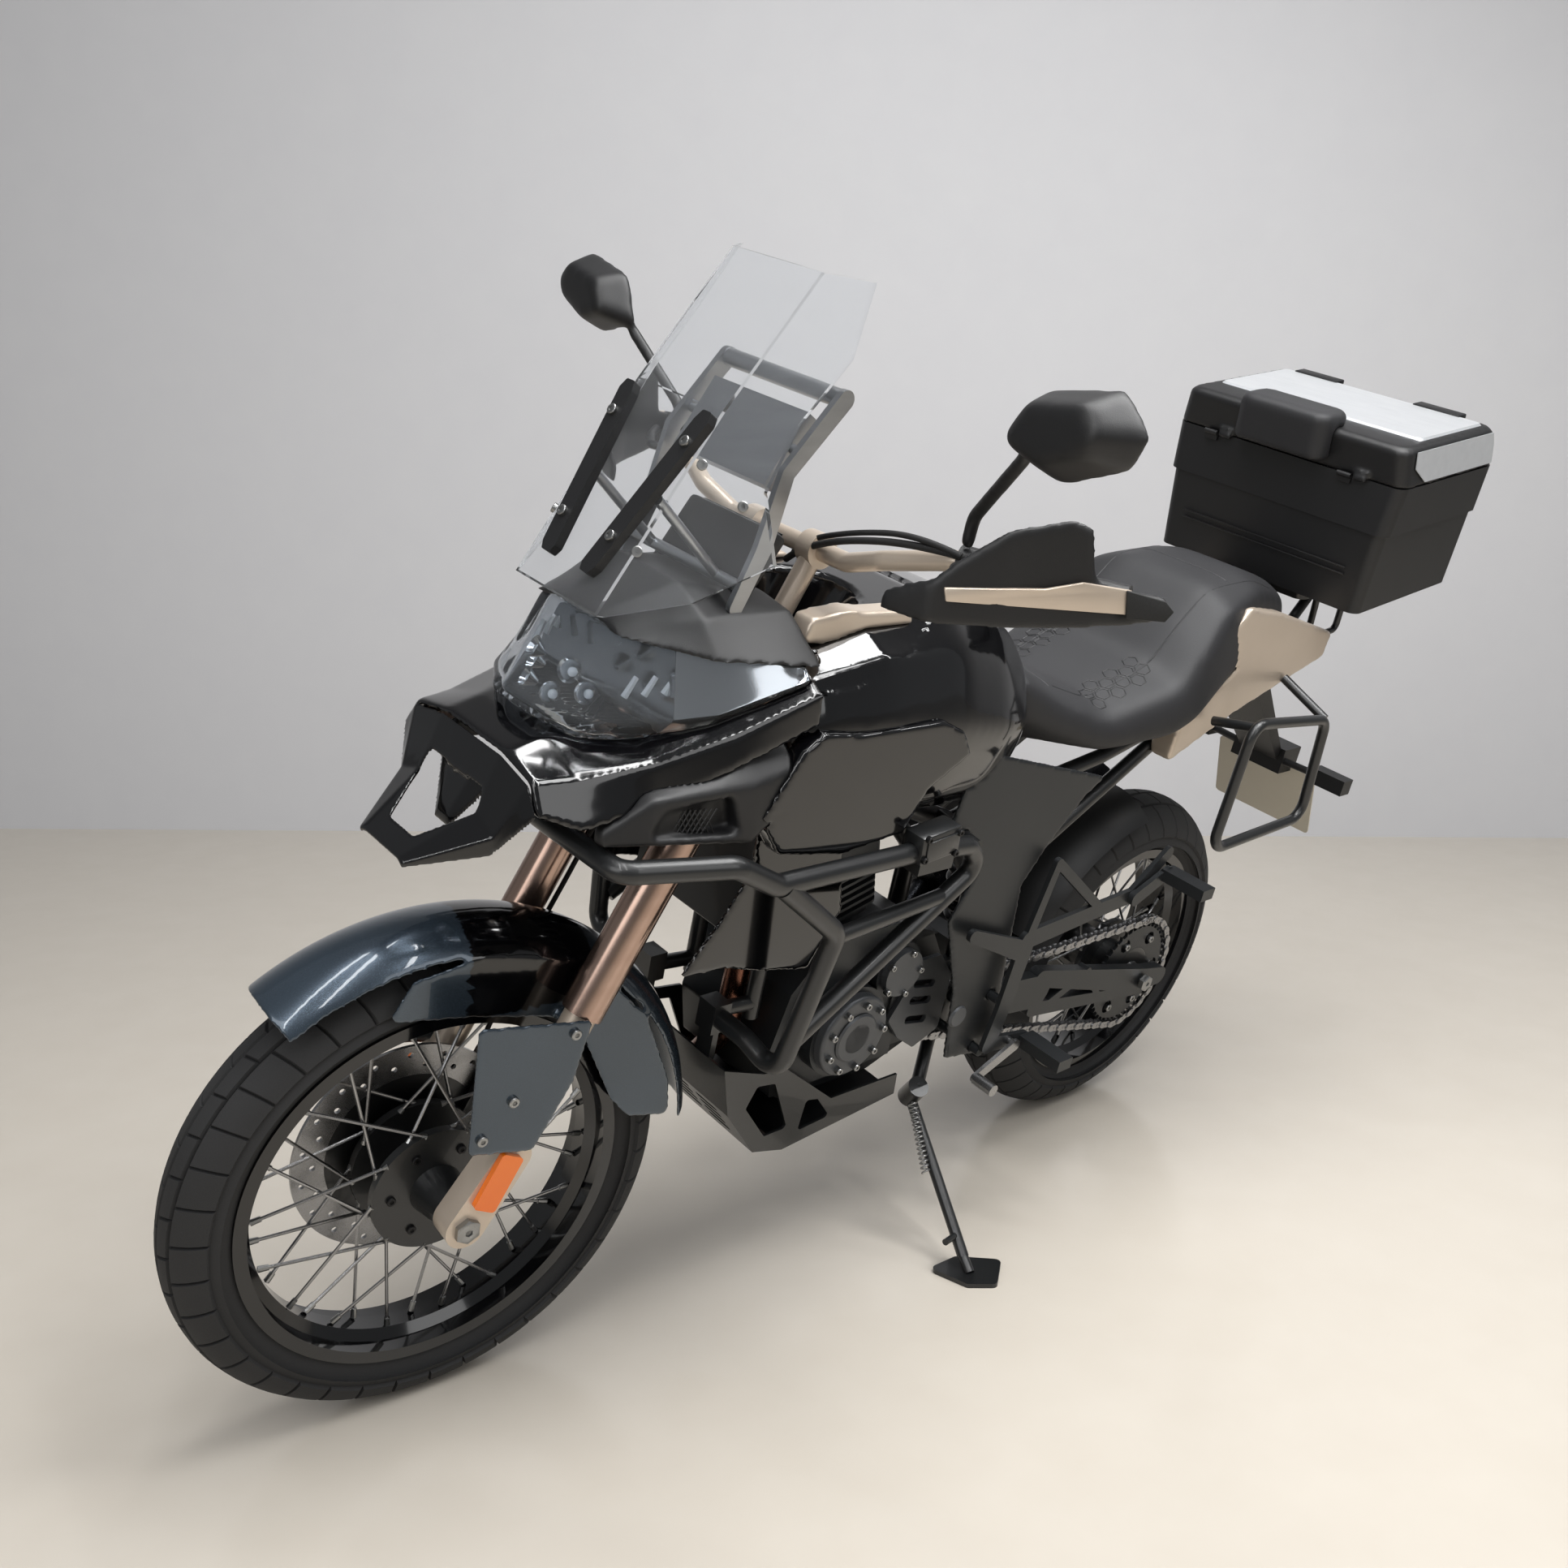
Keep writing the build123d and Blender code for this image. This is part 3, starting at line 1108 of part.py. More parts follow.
with BuildPart() as carrier:
    with BuildSketch(case_frame.offset(-seat_gap - 16)):
        with Locations((150, 0)):
            RectangleRounded(270, 190, 20)
        with Locations((150, 0)):
            SlotOverall(150, 60, mode=Mode.SUBTRACT)
    extrude(amount=16)
    for hand in (1, -1):
        add(bar([(-142, hand * 86, 944), (-215, hand * 78, 990), (-255, hand * 78, 1040)], 20, 9))
        add(bar([(-250, hand * 92, 1038), (-262, hand * 92, 950), (-358, hand * 92, 962), (-352, hand * 92, 1054)], 14, 6))
    add(main_frame.part, mode=Mode.SUBTRACT)
    add(case_body.part, mode=Mode.SUBTRACT)
pieces["carrier"] = carrier.part.solids().sort_by(SortBy.VOLUME)[-1]

rack_y = 240
rack_loop = [(116, rack_y, 893), (124, rack_y, 669), (-154, rack_y, 682), (-125, rack_y, 872)]
with BuildPart() as rack:
    with BuildLine() as loop_line:
        FilletPolyline(*rack_loop, radius=30, close=True)
    with BuildSketch(Plane(origin=loop_line.line @ 0, z_dir=loop_line.line % 0)):
        Circle(rack_bar_r)
    sweep(path=loop_line.line)
    add(rod((100, 160, 864), (100, 240, 885), 8))
    add(rod((-110, 150, 914), (-118, 240, 874), 8))
pieces["pannier_racks"] = both_sides(rack.part)

with BuildPart() as tail_unit:
    add(lofted([(Plane(origin=(-132, 0, 944), x_dir=(0, 1, 0), z_dir=(-0.6, 0, -0.8)), [(-70, -16), (70, -16), (60, 16), (-60, 16)]),
                (Plane(origin=(-452, 0, 640), x_dir=(0, 1, 0), z_dir=(-0.6, 0, -0.8)), [(-40, -8), (40, -8), (40, 8), (-40, 8)])]))
    with Locations((-440, 0, 668)):
        Box(60, 110, 50)
    for hand in (1, -1):
        add(rod((-420, hand * 30, 668), (-430, hand * 130, 668), 7))
        with Locations((-432, hand * 150, 668)):
            Box(34, 70, 30)
with BuildPart() as number_plate:
    with BuildSketch(Plane(origin=(-480, 0, 585), x_dir=(0, 1, 0), z_dir=(-0.93, 0, 0.37))):
        RectangleRounded(220, 140, 8)
    extrude(amount=3)
pieces["number_plate"] = number_plate.part
pieces["tail_unit"] = (tail_unit.part - main_frame.part - number_plate.part).solids().sort_by(SortBy.VOLUME)[-1]


# ---------------------------------------------------------------- placing on the road
def lowest(centre, axle, radius, width):
    """The lowest point of a round-crowned tyre whose axle points along axle."""
    half = width / 2
    return centre.Z - (radius - half) * sqrt(1 - axle.Z ** 2) - half


lean_turn = Location((0, 0, 0), (-lean, 0, 0))
steer_turn = Location(steering_axis.position) * Location((0, 0, 0), steering_axis.direction, rest_steer) * Location(
    steering_axis.position).inverse()


def moved(place, point):
    """A point carried by a placement."""
    return (place * Location(tuple(point))).position


front_rest = lean_turn * steer_turn
front_at = moved(front_rest, front_centre)
front_axle = moved(front_rest, front_centre + Vector(0, 1, 0)) - front_at
rear_at = moved(lean_turn, rear_centre)
rear_axle = moved(lean_turn, rear_centre + Vector(0, 1, 0)) - rear_at
front_low = lowest(front_at, front_axle, front_tyre_r, front_tyre_w)
rear_low = lowest(rear_at, rear_axle, rear_tyre_r, rear_tyre_w)
pitch = degrees(atan2(front_low - rear_low, wheelbase))
standing = Location((0, 0, -rear_low)) * Location((0, 0, 0), (0, pitch, 0)) * lean_turn

# ---------------------------------------------------------------- side stand, its foot flat on the road
foot_side = moved(standing, (stand_foot[0], stand_foot[1], 0))
foot_up = moved(standing, (stand_foot[0], stand_foot[1], 100)) - foot_side
foot_road = foot_side - foot_up * (foot_side.Z / foot_up.Z)
foot_at = moved(standing.inverse(), foot_road)
road_x = moved(standing.inverse(), foot_road + Vector(1, 0, 0)) - foot_at
road_up = moved(standing.inverse(), foot_road + Vector(0, 0, 1)) - foot_at
foot_plane = Plane(origin=foot_at, x_dir=road_x, z_dir=road_up)
with BuildPart() as side_stand:
    with BuildSketch(foot_plane):
        outline([(-66, 8), (-5, 50), (28, 20), (35, -50), (-20, -46)], 10)
    extrude(amount=7)
    leg_top = Vector(*stand_pivot) - stand_axis * seat_gap
    leg_way = (foot_at - Vector(*stand_pivot)).normalized()
    leg_low = foot_at + (Vector(*stand_pivot) - foot_at).normalized() * 30
    with BuildSketch(Plane(origin=leg_top, z_dir=stand_axis)):
        Circle(17)
    extrude(amount=-20)
    add(rod(Vector(*stand_pivot) - stand_axis * 12 + leg_way * 12, leg_low, 9))
    add(rod(leg_low, foot_at + foot_plane.z_dir * 6, 8))
    add(rod(leg_low - leg_way * 34, leg_low - leg_way * 34 + Vector(34, 6, 4), 5))
pieces["side_stand"] = side_stand.part

# ---------------------------------------------------------------- writing
placed = {}
for name, part in pieces.items():
    placed[name] = (standing * steer_turn if name in steered else standing) * part
low = [min(tuple(part.bounding_box().min)[axis] for part in placed.values()) for axis in range(3)]
high = [max(tuple(part.bounding_box().max)[axis] for part in placed.values()) for axis in range(3)]
origin = Vector((low[0] + high[0]) / 2, (low[1] + high[1]) / 2, 0)
os.makedirs("parts", exist_ok=True)
for name, part in placed.items():
    solid = Location(tuple(-origin)) * part
    solid.label = name
    export_step(solid, f"parts/{name}.step")
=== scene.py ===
"""An adventure motorcycle on its side stand: finishes, tread, fasteners, seat and lamps round the part."""

import json

from math import atan2, cos, pi, radians, sin

import bmesh
import bpy
from mathutils import Matrix, Vector
from mathutils.bvhtree import BVHTree


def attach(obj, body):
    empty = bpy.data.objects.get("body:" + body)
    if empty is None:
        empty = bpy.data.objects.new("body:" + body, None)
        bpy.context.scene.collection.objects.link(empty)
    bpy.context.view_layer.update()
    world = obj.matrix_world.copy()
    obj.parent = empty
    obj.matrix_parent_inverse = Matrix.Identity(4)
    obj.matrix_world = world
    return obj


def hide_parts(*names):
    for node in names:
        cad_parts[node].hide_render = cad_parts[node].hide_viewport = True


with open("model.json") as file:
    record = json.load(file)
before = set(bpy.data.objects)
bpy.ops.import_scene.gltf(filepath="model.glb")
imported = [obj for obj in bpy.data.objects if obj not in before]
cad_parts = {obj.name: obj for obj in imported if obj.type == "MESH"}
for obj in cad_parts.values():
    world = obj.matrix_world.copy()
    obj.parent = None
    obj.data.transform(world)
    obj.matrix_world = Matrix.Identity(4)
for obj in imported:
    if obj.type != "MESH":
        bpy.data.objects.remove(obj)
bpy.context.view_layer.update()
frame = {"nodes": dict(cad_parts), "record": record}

# ---------------------------------------------------------------- the machine's own frames
# Upright motorcycle measurements in millimetres (rear axle at x = 0, road at z = 0) to the leaning machine in
# metres, for what stands with the frame and for what turns with the bars.
origin_mm = Vector((611.24, 337.5586, 0))
standing = Matrix.Scale(0.001, 4) @ Matrix.Translation(-origin_mm) @ Matrix((
    (0.99999947, 0.00026255, -0.00099369, 0),
    (0, 0.96682339, 0.25544576, 0),
    (0.00102779, -0.25544562, 0.96682288, 2.45507),
    (0, 0, 0, 1),
))
steered = Matrix.Scale(0.001, 4) @ Matrix.Translation(-origin_mm) @ Matrix((
    (0.99395219, 0.10974288, -0.00394315, 9.1314),
    (-0.10665163, 0.97326377, 0.20342828, 161.04397),
    (0.02616253, -0.20177744, 0.97908191, -35.49839),
    (0, 0, 0, 1),
))
rear_tyre_r, rear_tyre_w, rear_lip_r = 320, 148, 230
front_tyre_r, front_tyre_w, front_lip_r = 329, 112, 255
wheelbase = 1405
rear_axle = (0, 0, rear_tyre_r)
front_axle = (wheelbase, 0, front_tyre_r)
to_left = (0, 1, 0)
to_right = (0, -1, 0)


# ---------------------------------------------------------------- materials
def paint(code):
    """An sRGB hex colour as the linear colour that the shader takes."""
    parts = [int(code[i:i + 2], 16) / 255 for i in (1, 3, 5)]
    return [p / 12.92 if p <= 0.04045 else ((p + 0.055) / 1.055) ** 2.4 for p in parts] + [1]


def node(tree, kind, sockets=None, **settings):
    """One node with its settings; each socket takes a value, or another node's output to link."""
    made = tree.nodes.new(kind)
    for name, value in settings.items():
        setattr(made, name, value)
    for name, value in (sockets or {}).items():
        if isinstance(value, bpy.types.NodeSocket):
            tree.links.new(value, made.inputs[name])
        else:
            made.inputs[name].default_value = value
    return made


def finish_of(name, colour, second, roughness, metallic=0.0, grain=2.0, bump=0.2, spread=0.08, coat=0.0,
              height=0.0002, stretch=(1, 1, 1), top_sheen=None):
    """A surface: two close tones mottled at grain millimetres, roughness that varies by spread, and a fine
    relief of height metres. A lighter colour painted on what faces up is a painted sheen of the light from
    above."""
    material = bpy.data.materials.new(name)
    material.use_nodes = True
    tree = material.node_tree
    shader = tree.nodes["Principled BSDF"]
    place = node(tree, "ShaderNodeMapping",
                 {"Vector": node(tree, "ShaderNodeTexCoord").outputs["Object"], "Scale": stretch})
    fine = node(tree, "ShaderNodeTexNoise",
                {"Vector": place.outputs[0], "Scale": 1000 / grain, "Detail": 4.0})
    broad = node(tree, "ShaderNodeTexNoise", {"Vector": place.outputs[0], "Scale": 9.0, "Detail": 3.0})
    tones = node(tree, "ShaderNodeMix", {"Factor": broad.outputs["Fac"]}, data_type="RGBA")
    tones.inputs[6].default_value = paint(colour)
    tones.inputs[7].default_value = paint(second)
    colour_out = tones.outputs[2]
    # painted sheen: faces turned up take a lighter colour, as the light from above would give them
    if top_sheen:
        up = node(tree, "ShaderNodeSeparateXYZ",
                  {"Vector": node(tree, "ShaderNodeNewGeometry").outputs["Normal"]})
        share = node(tree, "ShaderNodeMapRange",
                     {"Value": up.outputs["Z"], "From Min": 0.3, "From Max": 1.0, "To Max": 0.22})
        sheen_mix = node(tree, "ShaderNodeMix", {"Factor": share.outputs[0]}, data_type="RGBA")
        tree.links.new(colour_out, sheen_mix.inputs[6])
        sheen_mix.inputs[7].default_value = paint(top_sheen)
        colour_out = sheen_mix.outputs[2]
    tree.links.new(colour_out, shader.inputs["Base Color"])
    rough = node(tree, "ShaderNodeMapRange", {
        "Value": fine.outputs["Fac"],
        "To Min": max(0.02, roughness - spread),
        "To Max": min(1.0, roughness + spread),
    })
    tree.links.new(rough.outputs[0], shader.inputs["Roughness"])
    relief = node(tree, "ShaderNodeBump",
                  {"Height": fine.outputs["Fac"], "Strength": bump, "Distance": height})
    tree.links.new(relief.outputs[0], shader.inputs["Normal"])
    shader.inputs["Metallic"].default_value = metallic
    shader.inputs["Coat Weight"].default_value = coat
    shader.inputs["Coat Roughness"].default_value = 0.04
    return material


# natural rubber compound, moulded: dull near-black that goes a little grey
tyre_rubber = finish_of("moulded tyre rubber", "#1c1c1d", "#252526", 0.78, grain=1.5, bump=0.5, height=0.0004)
# ABS panels in gloss black lacquer: deep, with sharp reflections
gloss_lacquer = finish_of(
    "gloss black lacquered ABS", "#040405", "#060608", 0.1, grain=0.8, bump=0.015, spread=0.03, coat=0.35)
# polypropylene, moulded with a leather-like spark grain: flat charcoal
grained_plastic = finish_of(
    "grained black polypropylene", "#0e0e0f", "#131315", 0.46, grain=0.9, bump=0.45, height=0.0003)
# powder coat on steel tube: satin black with a faint orange peel
powder_coat = finish_of(
    "satin black powder coat", "#131415", "#1a1b1c", 0.36, grain=2.2, bump=0.15, coat=0.25)
# dark graphite cast aluminium, shot-blasted and painted
painted_casting = finish_of(
    "graphite painted casting", "#232527", "#2e3032", 0.36, metallic=0.45, grain=1.2, bump=0.35,
    height=0.0003)
# bare machined aluminium, brushed
machined_alloy = finish_of(
    "machined aluminium", "#9a9c9f", "#b4b6b9", 0.3, metallic=1.0, grain=1.2, bump=0.2, stretch=(1, 1, 8))
# warm anodised aluminium, the colour of pale champagne, satin
champagne_anodised = finish_of(
    "champagne anodised aluminium", "#bfb0a0", "#cfc1b1", 0.32, metallic=0.5, grain=0.9, bump=0.08, coat=0.2)
# bronze anodised fork tube, polished
bronze_anodised = finish_of(
    "bronze anodised tube", "#a08679", "#b39a8c", 0.2, metallic=0.95, grain=0.8, bump=0.05, stretch=(1, 1, 6))
# dark blue-grey metallic paint under clear coat: flakes give it a slow sparkle
storm_metallic = finish_of(
    "storm grey metallic paint", "#333e48", "#3e4a56", 0.25, metallic=0.6, grain=0.6, bump=0.06, coat=0.7)
# stainless steel, ground: discs and chain plates
ground_steel = finish_of(
    "ground stainless steel", "#8d8d8e", "#a7a7a8", 0.28, metallic=1.0, grain=0.9, bump=0.25,
    stretch=(1, 6, 1))
# zinc-plated fastener
zinc_plate = finish_of("zinc plated fastener", "#8a8b8c", "#a2a2a0", 0.3, metallic=1.0, grain=0.9, bump=0.1)
# black oxide fastener
black_oxide = finish_of("black oxide fastener", "#1a1a1b", "#262627", 0.38, metallic=0.7, grain=0.9, bump=0.1)
# stainless header, heat stained towards copper and straw
heat_stained = finish_of(
    "heat stained header steel", "#8a553f", "#6b544c", 0.28, metallic=1.0, grain=1.5, bump=0.15)
# amber acrylic lens
amber_acrylic = finish_of("amber acrylic", "#e2620c", "#f07c1a", 0.12, grain=2.5, bump=0.25, coat=0.6)
# red acrylic lens
red_acrylic = finish_of("red acrylic", "#7c0d0d", "#a01414", 0.12, grain=2.5, bump=0.25, coat=0.6)
# brushed aluminium skin of the case lid
brushed_skin = finish_of(
    "brushed aluminium skin", "#c6c8cb", "#d6d8da", 0.32, metallic=0.55, grain=0.9, bump=0.2,
    stretch=(6, 1, 6))
# chromed reflector bowl
chromed = finish_of(
    "vapour chromed bowl", "#b8babd", "#d2d4d6", 0.1, metallic=1.0, grain=4, bump=0.02, spread=0.02)
# bare number plate in cream enamel
cream_enamel = finish_of("cream enamel", "#b9b2a2", "#c3bcad", 0.35, grain=3, bump=0.05, coat=0.3)
# vinyl seat cover, embossed with a fine grain
# the lighter grey that the seat takes on what faces up is a painted sheen of the overhead light
embossed_vinyl = finish_of(
    "embossed seat vinyl", "#151517", "#1d1d20", 0.58, grain=1.3, bump=0.6, height=0.0004, top_sheen="#4a4a4c")
# ribbed grip rubber
grip_rubber = finish_of("ribbed grip rubber", "#131313", "#1b1b1b", 0.7, grain=2.2, bump=0.6, height=0.0005)
# the outer engine covers are a lighter, bead-blasted grey
cover_grey = finish_of(
    "bead-blasted grey casting", "#45474a", "#55575a", 0.4, metallic=0.45, grain=1.1, bump=0.3, height=0.0003)
# optical glass of the lamp's projectors
projector_glass = finish_of(
    "projector lens glass", "#c9d0d6", "#dde3e8", 0.05, grain=9, bump=0.02, spread=0.02, coat=1.0)
# frosted light guide
frosted_bar = finish_of("frosted light bar", "#c8ccd0", "#e2e6ea", 0.25, grain=2, bump=0.2, coat=0.6)


def clear(name, colour, roughness, passes, bend):
    """A clear moulding: light goes through it, less as it is darker, and its faces shine."""
    material = finish_of(name, colour, colour, roughness, grain=30, bump=0.02, spread=0.02)
    shader = material.node_tree.nodes["Principled BSDF"]
    shader.inputs["Transmission Weight"].default_value = passes
    shader.inputs["IOR"].default_value = bend
    return material


# polycarbonate screen: clear, faintly grey, its edge catches the light
clear_screen = clear("clear polycarbonate", "#f4f6f8", 0.02, 0.97, 1.25)
lamp_lens = clear("smoked lamp lens", "#d4d8dc", 0.0, 0.96, 1.1)

# the header's stain cools to a dark grey towards the silencer, behind the middle of the machine
stained = heat_stained.node_tree
along_pipe = node(stained, "ShaderNodeSeparateXYZ",
                  {"Vector": node(stained, "ShaderNodeTexCoord").outputs["Object"]})
cooled = node(stained, "ShaderNodeMapRange",
              {"Value": along_pipe.outputs["X"], "From Min": 0.0, "From Max": -0.16})
tail_tone = node(stained, "ShaderNodeMix", {"Factor": cooled.outputs[0]}, data_type="RGBA")
pipe_colour = stained.nodes["Principled BSDF"].inputs["Base Color"]
stained.links.new(pipe_colour.links[0].from_socket, tail_tone.inputs[6])
tail_tone.inputs[7].default_value = paint("#26272a")
stained.links.new(tail_tone.outputs[2], pipe_colour)

finishes = {
    "tyre": tyre_rubber, "gloss_black": gloss_lacquer, "gloss_panel": gloss_lacquer,
    "matte_black": grained_plastic, "black_steel": powder_coat, "dark_alloy": painted_casting,
    "grey_alloy": machined_alloy, "champagne": champagne_anodised, "bronze": bronze_anodised,
    "blue_grey_panel": storm_metallic, "steel": ground_steel, "pipe_steel": heat_stained,
    "amber": amber_acrylic, "silver_panel": brushed_skin, "plate": cream_enamel,
    "seat_cover": embossed_vinyl, "clear": clear_screen, "lamp": chromed,
}
slots = {entry["node"]: entry["material_slot"] for entry in frame["record"]["subparts"]}
for name, made in frame["nodes"].items():
    made.data.materials.clear()
    made.data.materials.append(finishes[slots[name]])
frame["nodes"]["headlight_lens"].data.materials[0] = lamp_lens
frame["nodes"]["engine_covers"].data.materials[0] = cover_grey


# ---------------------------------------------------------------- ways of making a piece
def piece(name, mesh, body, materials, place=standing):
    """A finished piece: its mesh goes to its place, faces outwards, and it rides on its body."""
    bmesh.ops.transform(mesh, matrix=place, verts=mesh.verts)
    bmesh.ops.recalc_face_normals(mesh, faces=mesh.faces)
    data = bpy.data.meshes.new(name)
    mesh.to_mesh(data)
    mesh.free()
    made = bpy.data.objects.new(name, data)
    bpy.context.scene.collection.objects.link(made)
    for material in materials if isinstance(materials, (list, tuple)) else [materials]:
        data.materials.append(material)
    data.polygons.foreach_set("use_smooth", [True] * len(data.polygons))
    data.set_sharp_from_angle(angle=radians(38))
    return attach(made, body)


def along(start, end):
    """The frame halfway from start to end whose Z points to end."""
    start, end = Vector(start), Vector(end)
    return Matrix.Translation((start + end) / 2) @ (end - start).to_track_quat("Z", "Y").to_matrix().to_4x4()


def rod(mesh, start, end, radius, end_radius=None, sides=10):
    """A round bar from start to end, which tapers to end_radius where one is given."""
    bmesh.ops.create_cone(mesh, cap_ends=True, segments=sides, radius1=radius,
                          radius2=radius if end_radius is None else end_radius,
                          depth=(Vector(end) - Vector(start)).length, matrix=along(start, end))


def bolt(mesh, place, way, radius, height, sides=18, socket=0.5):
    """A socket-head bolt standing on place along way: a chamfered head with a hexagon sunk in it."""
    way = Vector(way).normalized()
    place = Vector(place)
    root, edge, crown = place - way * 1.5, place + way * height * 0.8, place + way * height
    rod(mesh, root, edge, radius, sides=sides)
    rod(mesh, edge, crown, radius, radius * 0.86, sides=sides)
    mesh.faces.ensure_lookup_table()
    caps = (f for f in mesh.faces[-sides - 4:] if len(f.verts) == sides)
    cap = max(caps, key=lambda f: f.calc_center_median().dot(way))
    bmesh.ops.inset_region(mesh, faces=[cap], thickness=radius * (1 - socket) * 0.8, depth=0)
    bmesh.ops.inset_region(mesh, faces=[cap], thickness=0.05, depth=-height * 0.5)


def bolt_circle(mesh, centre, way, circle_r, count, radius, height, first=0.0):
    """Bolts evenly spaced on a circle of circle_r round an axis that runs across the machine."""
    x, y, z = centre
    for number in range(count):
        a = 2 * pi * number / count + first
        bolt(mesh, (x + circle_r * cos(a), y, z + circle_r * sin(a)), way, radius, height)


def block(mesh, place, size, turn=None, bevel=0.0):
    """A box of size round place, with its edges rounded."""
    lie = Matrix.Translation(place) @ (turn or Matrix()) @ Matrix.Diagonal((*size, 1))
    made = bmesh.ops.create_cube(mesh, size=1, matrix=lie)
    if bevel:
        edges = list({e for v in made["verts"] for e in v.link_edges})
        bmesh.ops.bevel(mesh, geom=edges, offset=bevel, affect="EDGES", segments=2, profile=0.5, material=-1)


def sheet_of(mesh, points, depth, way):
    """A flat outline of points given depth along way."""
    face = mesh.faces.new([mesh.verts.new(p) for p in points])
    grown = bmesh.ops.extrude_face_region(mesh, geom=[face])
    verts = [g for g in grown["geom"] if isinstance(g, bmesh.types.BMVert)]
    bmesh.ops.translate(mesh, verts=verts, vec=Vector(way) * depth)


def mesh_of(made):
    """A new bmesh of an object's evaluated form. The object is removed."""
    data = bpy.data.meshes.new_from_object(made.evaluated_get(bpy.context.evaluated_depsgraph_get()))
    bpy.data.objects.remove(made)
    mesh = bmesh.new()
    mesh.from_mesh(data)
    return mesh


def held(mesh, name):
    """An object in the scene that holds the bmesh, which is freed."""
    data = bpy.data.meshes.new(name)
    mesh.to_mesh(data)
    mesh.free()
    made = bpy.data.objects.new(name, data)
    bpy.context.scene.collection.objects.link(made)
    return made


def hose(name, points, radius, body, material, place=standing):
    """A round hose or wire along a smooth line through points, as a closed mesh."""
    curve = bpy.data.curves.new(name, "CURVE")
    curve.dimensions = "3D"
    spline = curve.splines.new("NURBS")
    spline.points.add(len(points) - 1)
    for point, at in zip(spline.points, points):
        point.co = (*at, 1)
    spline.order_u = 4 if len(points) > 3 else 3
    spline.use_endpoint_u = True
    spline.resolution_u = 8
    curve.bevel_depth = radius
    curve.bevel_resolution = 3
    curve.use_fill_caps = True
    made = bpy.data.objects.new(name + "_line", curve)
    bpy.context.scene.collection.objects.link(made)
    return piece(name, mesh_of(made), body, material, place)


def surface_of(made):
    """A piece's faces as a tree to cast lines at."""
    data = made.data
    return BVHTree.FromPolygons([v.co for v in data.vertices], [p.vertices for p in data.polygons])


def thinned(mesh, keep):
    """The bmesh with the share keep of its triangles, those of the flattest parts gone first."""
    dense = held(mesh, "thinned")
    dense.modifiers.new("fewer", "DECIMATE").ratio = keep
    return mesh_of(dense)


def softened(name, node_name, body, material, voxel, turns, swell=0.0, clear_of=None, keep=1.0):
    """The node's form drawn again with rounded edges: remeshed evenly at voxel metres, then smoothed turns
    times and swollen by what that takes off, with the share keep of its triangles left. Within
    clear_of = (point, axis, radius) it goes back to the node's own surface, and leaves room to what turns."""
    mesh = bmesh.new()
    mesh.from_mesh(frame["nodes"][node_name].data)
    bmesh.ops.remove_doubles(mesh, verts=mesh.verts, dist=0.00001)
    rough = held(mesh, name + "_rough")
    even = rough.modifiers.new("even", "REMESH")
    even.mode = "VOXEL"
    even.voxel_size = voxel
    mesh = mesh_of(rough)
    for _ in range(turns):
        bmesh.ops.smooth_vert(mesh, verts=mesh.verts, factor=0.5,
                              use_axis_x=True, use_axis_y=True, use_axis_z=True)
    if swell:
        mesh.normal_update()
        for vert in mesh.verts:
            vert.co += vert.normal * swell
    if clear_of:
        point, axis, reach = clear_of
        tree = surface_of(frame["nodes"][node_name])
        for vert in mesh.verts:
            out = vert.co - point
            if (out - axis * out.dot(axis)).length < reach:
                vert.co = tree.find_nearest(vert.co)[0]
    if keep < 1.0:
        mesh = thinned(mesh, keep)
    made = piece(name, mesh, body, material, Matrix())
    made.data.polygons.foreach_set("use_smooth", [True] * len(made.data.polygons))
    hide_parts(node_name)
    return made


# ---------------------------------------------------------------- bodywork with rounded edges
steering_room = (standing @ Vector((1054.5, 0, 933.8)), Vector((-0.43926, 0.22959, 0.86852)), 0.185)
softened("tank_shell", "fuel_tank", "chassis", gloss_lacquer, 0.0055, 70, 0.004, clear_of=steering_room)
softened("nose_fairing", "fairing", "chassis", gloss_lacquer, 0.003, 9, 0.0006)
softened("beak_shell", "beak", "chassis", gloss_lacquer, 0.0016, 8, 0.0004)
softened("screen_cowl", "upper_cowl", "chassis", grained_plastic, 0.003, 6, 0.0004)
softened("intake_cowls", "vent_cowls", "chassis", grained_plastic, 0.003, 9, 0.0005)
softened("knee_shrouds", "shrouds", "chassis", gloss_lacquer, 0.003, 5, 0.0004)
softened("flank_panels", "side_panels", "chassis", gloss_lacquer, 0.003, 6, 0.0004, keep=0.6)
softened("rear_arms", "tail_panels", "chassis", champagne_anodised, 0.0035, 6, 0.0004, keep=0.6)
softened("tank_arms", "tank_cover", "chassis", champagne_anodised, 0.003, 7, 0.0004)
softened("frame_covers", "side_covers", "chassis", painted_casting, 0.003, 4, 0.0003, keep=0.5)
softened("lid_shell", "case_lid", "case_lid", grained_plastic, 0.0035, 4, 0.0003, keep=0.5)
softened("hand_shields", "handguards", "steering", grained_plastic, 0.0028, 22, 0.001)
mirror_housings = softened("mirror_housings", "mirrors", "steering", grained_plastic, 0.003, 34, 0.0022)
softened("fork_shields", "fork_guards", "steering", storm_metallic, 0.0024, 6, 0.0004)
softened("lamp_glass", "headlight_lens", "chassis", lamp_lens, 0.003, 6, 0.0002, keep=0.5)

# the fender is grey with a black saddle between the fork tubes
fender = softened("fender_shell", "front_fender", "steering", [storm_metallic, gloss_lacquer],
                  0.0026, 8, 0.0004, keep=0.45)
to_steered = steered.inverted()
black_rear, black_front, black_low = 1225, 1398, 588
for face in fender.data.polygons:
    at = to_steered @ face.center
    if at.z > black_low and black_rear < at.x < black_front:
        face.material_index = 1

# ---------------------------------------------------------------- seat and backrest pads
saddle = softened("saddle", "seat", "chassis", embossed_vinyl, 0.0055, 44, 0.0035)
backrest = softened("backrest", "backrest_pad", "case_lid", embossed_vinyl, 0.003, 12, 0.001)


